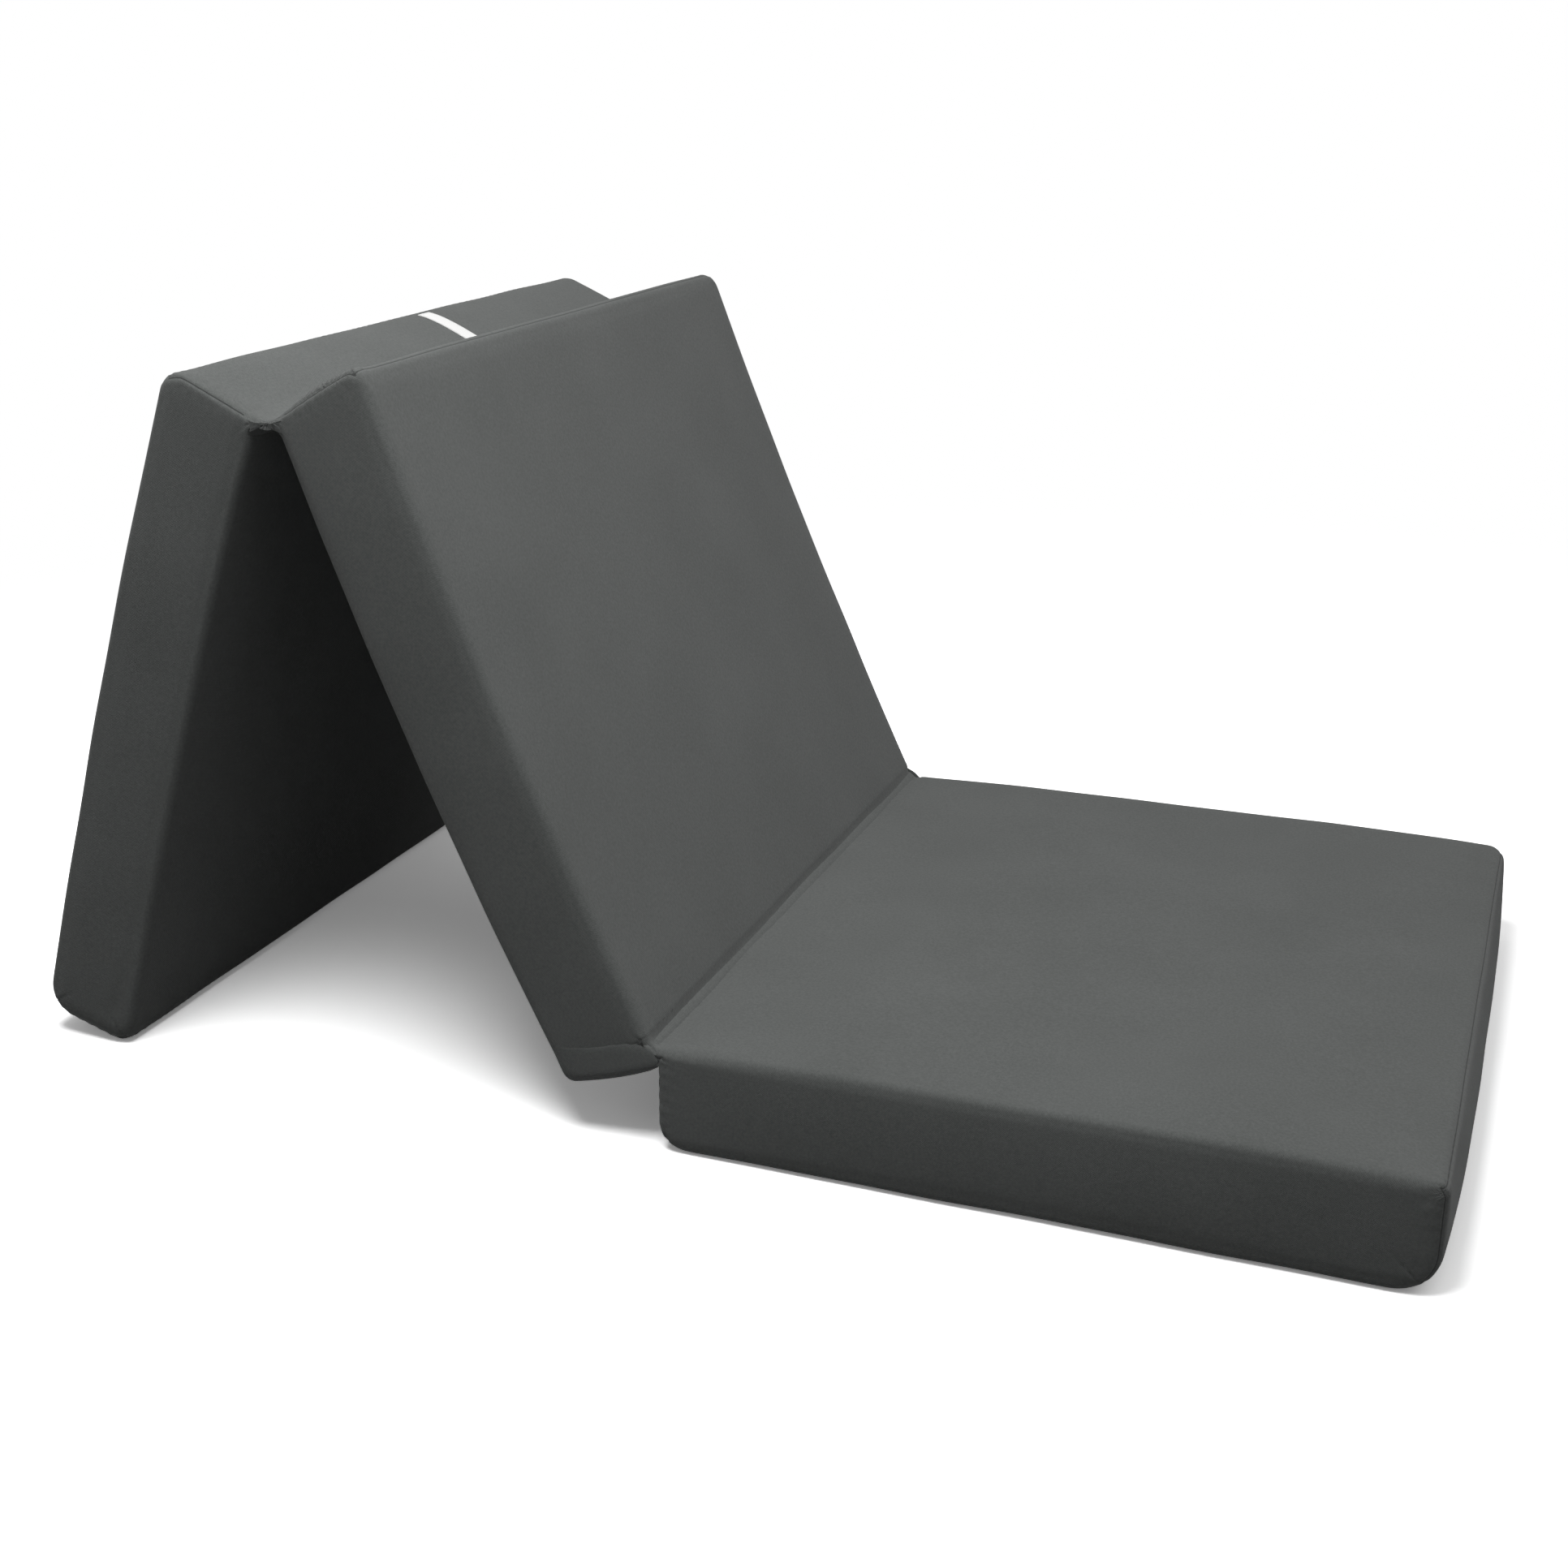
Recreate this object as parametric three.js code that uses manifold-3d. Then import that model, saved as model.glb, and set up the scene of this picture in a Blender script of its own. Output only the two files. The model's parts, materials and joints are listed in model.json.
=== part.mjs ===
// A folding foam mattress: three foam panels in zipped cloth covers, joined by two cloth fold strips.
// The foot panel lies on the floor. The middle and head panels stand on it and on the floor as a tent.
// Millimetres, +Z up. The origin lies on the floor, under the middle of the foot panel.
import * as THREE from "three";
import { mergeVertices } from "three/addons/utils/BufferGeometryUtils.js";
import Module from "manifold-3d";

const wasm = await Module();
wasm.setup();

// Sizes of the whole mattress. A panel's length and height are those between its seams.
const mattressWidth = 750;
const footLength = 645;
const middleLength = 604;
const headLength = 652;
const seamHeight = 94;

// The folds. A fold line stands off the seams that it joins, so that crowned faces can close on each other.
const foldGap = 8;
const foldLift = 3.5;
const middleLean = THREE.MathUtils.degToRad(66.2);

// Cloth, foam and the small gap that is left between pieces that touch.
const coverWall = 1.5;
const touchGap = 0.3;
const foamClearance = 0.4;
const cutOverrun = 1;
const flatCut = 0.5;

// How far the faces and the long edges of each panel swell, and how far the standing panels bend.
const faceCrown = 3;
const footEdgeCrown = 6;
const footUndersideCrown = 1.5;
const middleBow = -6;
const headBow = 6;
const foldEndBulge = 3;
const footEndBulge = 8;
const headEndBulge = 1;

// Corner radii, seen from the side of the mattress.
const foldCornerRadius = 9;
const footTopRadius = 12;
const footToeRadius = 34;
const footHeelRadius = 25;
const middleFrontRadius = 12;
const middleBackRadius = 11;
const headOuterRadius = 22;
const headFootOuterRadius = 26;
const headFootInnerRadius = 22;

// Radii of the seams round the long side faces, and of the upright corners seen from above.
const sideSeamRadius = 7;
const foldPlanRadius = 8;
const freePlanRadius = 18;

// The zip on the hidden long side of each cover.
const zipToothPitch = 8;
const zipToothCount = 52;
const zipToothWidth = 3.4;
const zipToothReach = 1;
const zipCordInner = 2;
const zipCordOuter = 3.4;
const zipSlotHalfHeight = 8;
const zipTapeThickness = 0.8;
const zipChainThickness = 2;
const zipRecess = 0.4;
const zipStopLength = 3;

// The zip's slider and its pull.
const sliderLength = 14;
const sliderPlate = 1.4;
const sliderFlange = 1;
const sliderNoseRadius = 2.5;
const bailHalfSpan = 3.2;
const bailWall = 1.2;
const bailHeight = 1.8;
const bailHalfWidth = 1.2;
const pullThickness = 1;
const pullLength = 26;
const pullHalfWidth = 5.5;
const pullEyeLength = 5.4;
const pullEyeHalfWidth = 3;
const pullHoleRadius = 2.2;

// The sewn-on end tab and the cloth of the fold strips.
const tabWidth = 23;
const tabThickness = 0.8;
const tabStart = 26;
const tabEnd = 85;
const tabOffset = 28;
const stripThickness = 1.2;

// Counts and shapes of the curves.
const arcSteps = 3;
const longSteps = 6;
const endSteps = 2;
const widthSteps = 5;
const tabSteps = 12;
const pullSteps = 8;
const leanHalvings = 50;
const crownPower = 3;
const acrossPower = 4;
const seamStationShare = 0.3;
const stripSlackShare = 0.5;
const zipBowShare = 0.6;

function clothMaterial(color) {
  return new THREE.MeshStandardMaterial({ color, roughness: 0.95, metalness: 0 });
}

const charcoalCloth = clothMaterial(0x626463);
const foamMaterial = clothMaterial(0xe9e2cf);
const zipCloth = clothMaterial(0x2b2c2c);
const whiteTape = clothMaterial(0xf0f0ee);
const zipMetal = new THREE.MeshStandardMaterial({ color: 0x3a3b3c, roughness: 0.4, metalness: 0.8 });

// The sizes that make each panel's form. Left and right are its ends along X when the mattress lies open.
const foot = {
  length: footLength,
  topEdgeCrown: footEdgeCrown,
  topCrown: faceCrown,
  bottomCrown: footUndersideCrown,
  bow: 0,
  leftBulge: foldEndBulge,
  rightBulge: footEndBulge,
  leftPlanRadius: foldPlanRadius,
  rightPlanRadius: freePlanRadius,
  radii: { leftTop: foldCornerRadius, rightTop: footTopRadius, rightBottom: footToeRadius, leftBottom: footHeelRadius },
};
const middle = {
  length: middleLength,
  topEdgeCrown: 0,
  topCrown: faceCrown,
  bottomCrown: faceCrown,
  bow: middleBow,
  leftBulge: foldEndBulge,
  rightBulge: foldEndBulge,
  leftPlanRadius: foldPlanRadius,
  rightPlanRadius: foldPlanRadius,
  radii: {
    leftTop: middleFrontRadius,
    rightTop: foldCornerRadius,
    rightBottom: middleBackRadius,
    leftBottom: foldCornerRadius,
  },
};
const head = {
  length: headLength,
  topEdgeCrown: 0,
  topCrown: faceCrown,
  bottomCrown: faceCrown,
  bow: headBow,
  leftBulge: headEndBulge,
  rightBulge: foldEndBulge,
  leftPlanRadius: freePlanRadius,
  rightPlanRadius: foldPlanRadius,
  radii: {
    leftTop: headFootOuterRadius,
    rightTop: headOuterRadius,
    rightBottom: foldCornerRadius,
    leftBottom: headFootInnerRadius,
  },
};

// A geometry as a manifold-3d solid, and back.
function toSolid(geometry) {
  const bare = geometry.clone();
  bare.deleteAttribute("normal");
  bare.deleteAttribute("uv");
  const merged = mergeVertices(bare);
  const vertProperties = new Float32Array(merged.attributes.position.array);
  const triVerts = new Uint32Array(merged.index.array);
  return new wasm.Manifold(new wasm.Mesh({ numProp: 3, vertProperties, triVerts }));
}

function toGeometry(solid) {
  const { vertProperties, triVerts } = solid.getMesh();
  const geometry = new THREE.BufferGeometry();
  geometry.setAttribute("position", new THREE.Float32BufferAttribute(vertProperties, 3));
  geometry.setIndex([...triVerts]);
  geometry.computeVertexNormals();
  return geometry;
}

// A box between two corners.
function box(low, high) {
  const size = high.clone().sub(low);
  const centre = low.clone().add(high).divideScalar(2);
  return new THREE.BoxGeometry(size.x, size.y, size.z).translate(centre.x, centre.y, centre.z);
}

// An outline in X and Z, pushed along Y from one side to the other.
function prism(points, fromY, toY) {
  const shape = new THREE.Shape(points.map(([x, z]) => new THREE.Vector2(x, z)));
  const geometry = new THREE.ExtrudeGeometry(shape, { depth: toY - fromY, bevelEnabled: false });
  return geometry.rotateX(Math.PI / 2).translate(0, toY, 0);
}

// The swell of a panel: its faces rise between the seams, its ends bulge and the whole panel bends.
function swell(panel, x, y, z) {
  const along = 1 - Math.abs((2 * x) / panel.length - 1) ** crownPower;
  const bend = 1 - ((2 * x) / panel.length - 1) ** 2;
  const across = 1 - Math.min(1, Math.abs((2 * y) / mattressWidth)) ** acrossPower;
  const through = (1 - ((2 * z) / seamHeight - 1) ** 2) ** 2;
  const top = along * (panel.topEdgeCrown + panel.topCrown * across);
  const bottom = along * panel.bottomCrown * across;
  const rise = z / seamHeight;
  const run = x / panel.length;
  return new THREE.Vector3(
    x + through * across * (run * panel.rightBulge - (1 - run) * panel.leftBulge),
    y,
    z + rise * top - (1 - rise) * bottom + bend * panel.bow,
  );
}

// How far a rounded edge has drawn in at a distance from the face that it runs into.
function drawIn(radius, distance) {
  return distance < radius ? radius - Math.sqrt(radius ** 2 - (radius - distance) ** 2) : 0;
}

// A panel's side outline at a distance from its side face, as corner arcs and the edges between them.
function sideOutline(panel, inset, distance) {
  const shrink = (radius) => inset + drawIn(radius - inset, distance);
  const left = shrink(panel.leftPlanRadius);
  const right = panel.length - shrink(panel.rightPlanRadius);
  const bottom = shrink(sideSeamRadius);
  const top = seamHeight - bottom;
  const corners = [
    { x: right, z: bottom, sx: -1, sz: 1, radius: panel.radii.rightBottom, turn: -Math.PI / 2, steps: endSteps },
    { x: right, z: top, sx: -1, sz: -1, radius: panel.radii.rightTop, turn: 0, steps: longSteps },
    { x: left, z: top, sx: 1, sz: -1, radius: panel.radii.leftTop, turn: Math.PI / 2, steps: endSteps },
    { x: left, z: bottom, sx: 1, sz: 1, radius: panel.radii.leftBottom, turn: Math.PI, steps: longSteps },
  ];
  const arcs = corners.map(({ x, z, sx, sz, radius, turn }) => {
    const r = radius - inset;
    return Array.from({ length: arcSteps + 1 }, (_, i) => {
      const angle = turn + (i / arcSteps) * (Math.PI / 2);
      return [x + sx * r + r * Math.cos(angle), z + sz * r + r * Math.sin(angle)];
    });
  });
  return arcs.flatMap((arc, i) => {
    const [fromX, fromZ] = arc[arcSteps];
    const [toX, toZ] = arcs[(i + 1) % arcs.length][0];
    const { steps } = corners[i];
    const between = Array.from({ length: steps - 1 }, (_, k) => {
      const part = (k + 1) / steps;
      return [fromX + part * (toX - fromX), fromZ + part * (toZ - fromZ)];
    });
    return [...arc, ...between];
  });
}

// Distances from the near side face at which the form gets a ring of points, the far ones mirrored.
function ringDistances(inset) {
  const seam = sideSeamRadius - inset;
  const corner = freePlanRadius - inset;
  const full = mattressWidth - 2 * inset;
  const near = [0, seam * seamStationShare, seam, corner];
  const inner = Array.from(
    { length: widthSteps - 1 },
    (_, i) => corner + ((i + 1) / widthSteps) * (full - 2 * corner),
  );
  return [...near, ...inner, ...near.map((distance) => full - distance).reverse()];
}

// A closed panel form, moved in from the outside by the inset.
function panelForm(panel, inset) {
  const full = mattressWidth - 2 * inset;
  const rings = ringDistances(inset).map((distance) =>
    sideOutline(panel, inset, Math.min(distance, full - distance)).map(([x, z]) =>
      swell(panel, x, distance - full / 2, z),
    ),
  );
  const count = rings[0].length;
  const index = [];
  for (let r = 0; r < rings.length - 1; r += 1) {
    for (let i = 0; i < count; i += 1) {
      const next = (i + 1) % count;
      const [a, b] = [r * count + i, r * count + next];
      const [c, d] = [a + count, b + count];
      index.push(a, c, b, b, c, d);
    }
  }
  const last = (rings.length - 1) * count;
  const flat = rings[0].map(({ x, z }) => new THREE.Vector2(x, z));
  for (const [a, b, c] of THREE.ShapeUtils.triangulateShape(flat, [])) {
    index.push(a, b, c, last + a, last + c, last + b);
  }
  const geometry = new THREE.BufferGeometry();
  geometry.setAttribute("position", new THREE.Float32BufferAttribute(rings.flat().flatMap((p) => [...p]), 3));
  geometry.setIndex(index);
  geometry.computeVertexNormals();
  return geometry;
}

// Where the zip runs on a panel's far side face.
const zipChainLength = zipToothPitch * zipToothCount;
const zipSlotLength = zipChainLength + 2 * (zipStopLength + 2 * touchGap);

function zipHeight(panel) {
  return seamHeight / 2 + zipBowShare * panel.bow;
}

// A cover: the cloth shell of a panel, slit for its zip and flattened where it stands on the floor.
function coverGeometry(panel, floorBlock) {
  const outside = toSolid(panelForm(panel, 0));
  const inside = toSolid(panelForm(panel, coverWall));
  const middleX = panel.length / 2;
  const slot = box(
    new THREE.Vector3(
      middleX - zipSlotLength / 2,
      mattressWidth / 2 - coverWall - foamClearance / 2,
      zipHeight(panel) - zipSlotHalfHeight,
    ),
    new THREE.Vector3(
      middleX + zipSlotLength / 2,
      mattressWidth / 2 + cutOverrun,
      zipHeight(panel) + zipSlotHalfHeight,
    ),
  );
  let shell = outside.subtract(inside).subtract(toSolid(slot));
  if (floorBlock) {
    shell = shell.subtract(toSolid(floorBlock));
  }
  return toGeometry(shell);
}

function addMesh(group, name, geometry, material) {
  const mesh = new THREE.Mesh(geometry, material);
  mesh.name = name;
  group.add(mesh);
}

// One half of a zip: a tape whose cord carries a comb of teeth. Side is 1 for the upper half.
function stringerGeometry(side) {
  const start = -zipChainLength / 2;
  const shift = (side > 0 ? 0 : zipToothPitch / 2) + zipToothPitch / 4;
  const half = zipToothWidth / 2;
  const points = [
    [start, side * zipCordOuter],
    [start, side * zipCordInner],
  ];
  for (let i = 0; i < zipToothCount; i += 1) {
    const centre = start + shift + i * zipToothPitch;
    points.push([centre - half, side * zipCordInner], [centre - half, -side * zipToothReach]);
    points.push([centre + half, -side * zipToothReach], [centre + half, side * zipCordInner]);
  }
  points.push([-start, side * zipCordInner], [-start, side * zipCordOuter]);
  const back = -zipRecess - zipTapeThickness;
  const comb = prism(points, back, back + zipChainThickness);
  const edge = side * (zipSlotHalfHeight - touchGap);
  const seam = (side * (zipCordInner + zipCordOuter)) / 2;
  const reach = zipSlotLength / 2 - touchGap;
  const tape = box(
    new THREE.Vector3(-reach, back, Math.min(edge, seam)),
    new THREE.Vector3(reach, -zipRecess, Math.max(edge, seam)),
  );
  return toGeometry(toSolid(comb).add(toSolid(tape)));
}

// The slider: a nosed plate over the teeth, flanges beside the cords and a bail for the pull.
const chainFace = zipChainThickness - zipRecess - zipTapeThickness;
const sliderFloor = chainFace + touchGap;
const sliderFace = sliderFloor + sliderPlate;
const sliderHalfWidth = zipCordOuter + touchGap + sliderFlange;

function sliderGeometry() {
  const nose = sliderHalfWidth - sliderNoseRadius;
  const halfLength = sliderLength / 2;
  const outline = [
    [-halfLength, -nose],
    [-halfLength + sliderNoseRadius, -sliderHalfWidth],
    [halfLength, -sliderHalfWidth],
    [halfLength, sliderHalfWidth],
    [-halfLength + sliderNoseRadius, sliderHalfWidth],
    [-halfLength, nose],
  ];
  let slider = toSolid(prism(outline, sliderFloor, sliderFace));
  for (const side of [-1, 1]) {
    const inner = side * (sliderHalfWidth - sliderFlange);
    const outer = side * sliderHalfWidth;
    const flange = box(
      new THREE.Vector3(-halfLength + sliderNoseRadius, -zipRecess + touchGap, Math.min(inner, outer)),
      new THREE.Vector3(halfLength, sliderFloor + sliderPlate / 2, Math.max(inner, outer)),
    );
    slider = slider.add(toSolid(flange));
  }
  const bail = box(
    new THREE.Vector3(-bailHalfSpan, sliderFace - sliderPlate / 2, -bailHalfWidth),
    new THREE.Vector3(bailHalfSpan, sliderFace + bailHeight + bailWall, bailHalfWidth),
  );
  const opening = box(
    new THREE.Vector3(-bailHalfSpan + bailWall, sliderFace, -bailHalfWidth - cutOverrun),
    new THREE.Vector3(bailHalfSpan - bailWall, sliderFace + bailHeight, bailHalfWidth + cutOverrun),
  );
  return toGeometry(slider.add(toSolid(bail).subtract(toSolid(opening))));
}

// The pull: a flat tab whose eye goes round the bail. Its bar lies at the middle of the bail's opening.
const pullBarHeight = sliderFace + bailHeight / 2;

function pullGeometry() {
  const bar = pullThickness / 2;
  const tail = pullLength - pullHalfWidth;
  const outline = [
    [-bar, pullHalfWidth],
    [-bar, -pullHalfWidth],
  ];
  for (let i = 0; i <= pullSteps; i += 1) {
    const angle = -Math.PI / 2 + (i / pullSteps) * Math.PI;
    outline.push([tail + pullHalfWidth * Math.cos(angle), pullHalfWidth * Math.sin(angle)]);
  }
  const low = pullBarHeight - bar;
  const high = pullBarHeight + bar;
  const eye = box(
    new THREE.Vector3(bar, low - cutOverrun, -pullEyeHalfWidth),
    new THREE.Vector3(bar + pullEyeLength, high + cutOverrun, pullEyeHalfWidth),
  );
  const hole = new THREE.CylinderGeometry(pullHoleRadius, pullHoleRadius, pullThickness + 2 * cutOverrun, pullSteps)
    .translate(tail, pullBarHeight, 0);
  return toGeometry(toSolid(prism(outline, low, high)).subtract(toSolid(eye)).subtract(toSolid(hole)));
}

// A stop that closes one end of the chain. It bridges both tapes.
function stopGeometry(end) {
  const inner = zipChainLength / 2 + touchGap;
  const outer = inner + zipStopLength;
  return box(
    new THREE.Vector3(end > 0 ? inner : -outer, -zipRecess + touchGap, -zipCordOuter),
    new THREE.Vector3(end > 0 ? outer : -inner, chainFace, zipCordOuter),
  );
}

// A zip lies along a panel's far side face, with its slider at one end. Way is the way that it opens.
function addZip(group, panel, name, way) {
  const zip = new THREE.Group();
  zip.position.set(panel.length / 2, mattressWidth / 2, zipHeight(panel));
  zip.rotation.y = way > 0 ? 0 : Math.PI;
  group.add(zip);
  addMesh(zip, `${name}_zip_upper_half`, stringerGeometry(way), zipCloth);
  addMesh(zip, `${name}_zip_lower_half`, stringerGeometry(-way), zipCloth);
  addMesh(zip, `${name}_zip_top_stop`, stopGeometry(-1), zipMetal);
  addMesh(zip, `${name}_zip_bottom_stop`, stopGeometry(1), zipMetal);
  const parked = new THREE.Group();
  parked.position.x = -zipChainLength / 2 + sliderLength / 2 + touchGap;
  zip.add(parked);
  addMesh(parked, `${name}_zip_slider`, sliderGeometry(), zipMetal);
  addMesh(parked, `${name}_zip_pull`, pullGeometry(), zipMetal);
}

// A panel's group: its foam, its cover and its zip.
function addPanel(group, panel, name, way, floorBlock) {
  addMesh(group, `${name}_foam_core`, panelForm(panel, coverWall + foamClearance), foamMaterial);
  addMesh(group, `${name}_cover`, coverGeometry(panel, floorBlock), charcoalCloth);
  addZip(group, panel, name, way);
}

// A group that turns about a fold line, with a panel's origin set off from that line.
function foldedPanel(foldPoint, turn, originX, originZ) {
  const hinge = new THREE.Group();
  hinge.position.set(foldPoint.x, 0, foldPoint.z);
  hinge.rotation.y = turn;
  const panelGroup = new THREE.Group();
  panelGroup.position.set(originX, 0, originZ);
  hinge.add(panelGroup);
  return { hinge, panelGroup };
}

// The foot panel rests on its underside, pressed flat by a little of its crown.
const footGroup = new THREE.Group();
footGroup.position.set(-footLength / 2, 0, footUndersideCrown - flatCut);

// The fold between foot and middle panel, along their top faces.
const lowerFold = new THREE.Vector3(-foldGap / 2, 0, seamHeight + foldLift).add(footGroup.position);
const middlePlace = foldedPanel(lowerFold, middleLean, -foldGap / 2 - middleLength, -seamHeight - foldLift);
middlePlace.hinge.updateMatrixWorld(true);

// The fold between middle and head panel, along their bottom faces, at the top of the tent.
const upperFold = middlePlace.panelGroup.localToWorld(new THREE.Vector3(-foldGap / 2, 0, -foldLift));
const headOriginX = -foldGap / 2 - headLength;

// How low the head panel's foot reaches when the panel leans by an angle.
function headReach(lean) {
  return Math.min(
    ...sideOutline(head, 0, mattressWidth / 2).map(([x, z]) => {
      const p = swell(head, x, 0, z);
      return upperFold.z + (p.x + headOriginX) * Math.sin(lean) + (p.z + foldLift) * Math.cos(lean);
    }),
  );
}

// The head panel leans so far that its foot just stands on the floor, flattened a little.
function standingLean() {
  let low = 0;
  let high = Math.PI / 2;
  for (let i = 0; i < leanHalvings; i += 1) {
    const lean = (low + high) / 2;
    if (headReach(lean) > -flatCut) {
      low = lean;
    } else {
      high = lean;
    }
  }
  return (low + high) / 2;
}

const headLean = standingLean();
const headPlace = foldedPanel(upperFold, -headLean, headOriginX, foldLift);
headPlace.hinge.updateMatrixWorld(true);

// The floor as a block in a panel's own frame, to flatten what stands on it.
function floorBlockIn(group) {
  const reach = footLength + middleLength + headLength;
  const floor = box(new THREE.Vector3(-reach, -mattressWidth, -seamHeight), new THREE.Vector3(reach, mattressWidth, 0));
  return floor.applyMatrix4(group.matrixWorld.clone().invert());
}

// A strip of cloth through points in X and Z, half its thickness to each side of them.
function stripGeometry(points, thickness, fromY, toY) {
  const sides = [1, -1].map((side) =>
    points.map(([x, z], i) => {
      const [ax, az] = points[Math.max(0, i - 1)];
      const [bx, bz] = points[Math.min(points.length - 1, i + 1)];
      const length = Math.hypot(bx - ax, bz - az);
      const offset = (side * thickness) / 2 / length;
      return [x - (bz - az) * offset, z + (bx - ax) * offset];
    }),
  );
  return prism([...sides[1], ...sides[0].reverse()], fromY, toY);
}

// Where a strip of cloth ends, just off the middle of a rounded corner's arc, seen from the side.
function cornerSeat(group, cornerX, cornerZ, inX, inZ) {
  const reach = foldCornerRadius - (foldCornerRadius + touchGap) * Math.SQRT1_2;
  return group.localToWorld(new THREE.Vector3(cornerX + inX * reach, 0, cornerZ + inZ * reach));
}

// A fold strip runs from the corner of one panel to that of the next, a little slack at the fold line.
function foldStripGeometry(from, fold, to) {
  const chordMiddle = from.clone().add(to).divideScalar(2);
  const stripMiddle = fold.clone().lerp(chordMiddle, stripSlackShare);
  const control = stripMiddle.multiplyScalar(2).sub(chordMiddle);
  const curve = new THREE.QuadraticBezierCurve3(from, control, to);
  const half = mattressWidth / 2 - foldPlanRadius;
  return stripGeometry(curve.getPoints(arcSteps + 1).map(({ x, z }) => [x, z]), stripThickness, -half, half);
}

// The end tab follows the head panel's end and bends round its upper corner.
function tabGeometry() {
  const corner = seamHeight - headOuterRadius;
  const seat = touchGap + tabThickness / 2;
  const points = Array.from({ length: tabSteps + 1 }, (_, i) => {
    const z = tabStart + (i / tabSteps) * (tabEnd - tabStart);
    const over = Math.max(0, z - corner);
    const x = headLength - headOuterRadius + Math.sqrt(headOuterRadius ** 2 - over ** 2);
    const p = swell(head, x, tabOffset, z);
    const lean = Math.asin(over / headOuterRadius);
    return [p.x + seat * Math.cos(lean), p.z + seat * Math.sin(lean)];
  });
  return stripGeometry(points, tabThickness, tabOffset - tabWidth / 2, tabOffset + tabWidth / 2);
}

const mattress = new THREE.Group();
mattress.add(footGroup, middlePlace.hinge, headPlace.hinge);
mattress.updateMatrixWorld(true);
addPanel(footGroup, foot, "foot", 1, floorBlockIn(footGroup));
addPanel(middlePlace.panelGroup, middle, "middle", 1);
addPanel(headPlace.panelGroup, head, "head", -1, floorBlockIn(headPlace.panelGroup));
addMesh(headPlace.panelGroup, "head_end_tab", tabGeometry(), whiteTape);

const footSeat = cornerSeat(footGroup, 0, seamHeight, 1, -1);
const middleLowerSeat = cornerSeat(middlePlace.panelGroup, middleLength, seamHeight, -1, -1);
const middleUpperSeat = cornerSeat(middlePlace.panelGroup, 0, 0, 1, 1);
const headSeat = cornerSeat(headPlace.panelGroup, headLength, 0, -1, 1);
addMesh(mattress, "foot_middle_fold_strip", foldStripGeometry(footSeat, lowerFold, middleLowerSeat), charcoalCloth);
addMesh(mattress, "middle_head_fold_strip", foldStripGeometry(headSeat, upperFold, middleUpperSeat), charcoalCloth);

export default mattress;
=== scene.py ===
"""A folding foam mattress in three panels, dressed for pictures and laid out as a Blender add-on."""
import json
import math

import bpy
import numpy as np
from mathutils import Matrix, Vector, bvhtree, kdtree


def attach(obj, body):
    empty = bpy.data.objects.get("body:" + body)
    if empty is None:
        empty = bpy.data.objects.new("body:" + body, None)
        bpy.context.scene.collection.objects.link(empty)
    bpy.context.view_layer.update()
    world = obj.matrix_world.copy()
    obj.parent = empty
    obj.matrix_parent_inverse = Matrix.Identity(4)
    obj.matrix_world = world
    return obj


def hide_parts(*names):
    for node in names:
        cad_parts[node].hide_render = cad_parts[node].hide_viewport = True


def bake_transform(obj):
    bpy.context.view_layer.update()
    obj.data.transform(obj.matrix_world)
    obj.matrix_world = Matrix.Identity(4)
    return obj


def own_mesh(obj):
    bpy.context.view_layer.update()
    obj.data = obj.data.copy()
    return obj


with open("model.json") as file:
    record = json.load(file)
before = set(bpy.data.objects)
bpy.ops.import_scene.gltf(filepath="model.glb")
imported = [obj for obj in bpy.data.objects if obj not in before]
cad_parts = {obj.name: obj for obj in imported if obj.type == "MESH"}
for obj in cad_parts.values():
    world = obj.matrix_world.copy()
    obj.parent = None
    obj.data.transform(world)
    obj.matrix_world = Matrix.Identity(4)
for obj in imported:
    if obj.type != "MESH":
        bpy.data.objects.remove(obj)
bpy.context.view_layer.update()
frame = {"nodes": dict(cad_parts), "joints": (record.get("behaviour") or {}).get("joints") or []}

bl_info = {
    "name": "Folding mattress",
    "version": (1, 0, 0),
    "blender": (4, 5, 0),
    "location": "View3D > Sidebar > Mattress",
    "description": "Makes the covers, foam, folds, end tab and zips of a folding mattress",
    "category": "Object",
}

MM = 0.001
JOINTS = {joint["name"]: joint for joint in frame["joints"]}
PANEL_NAMES = ("foot", "middle", "head")


def length(name, description, default, low=0.0, high=3.0):
    """A size in metres that a user can change."""
    return bpy.props.FloatProperty(
        name=name, description=description, default=default, min=low, max=high, subtype="DISTANCE", unit="LENGTH"
    )


def colour(name, description, default):
    """A colour that a user can change, as linear values."""
    return bpy.props.FloatVectorProperty(
        name=name, description=description, default=default, min=0.0, max=1.0, size=3, subtype="COLOR"
    )


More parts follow.
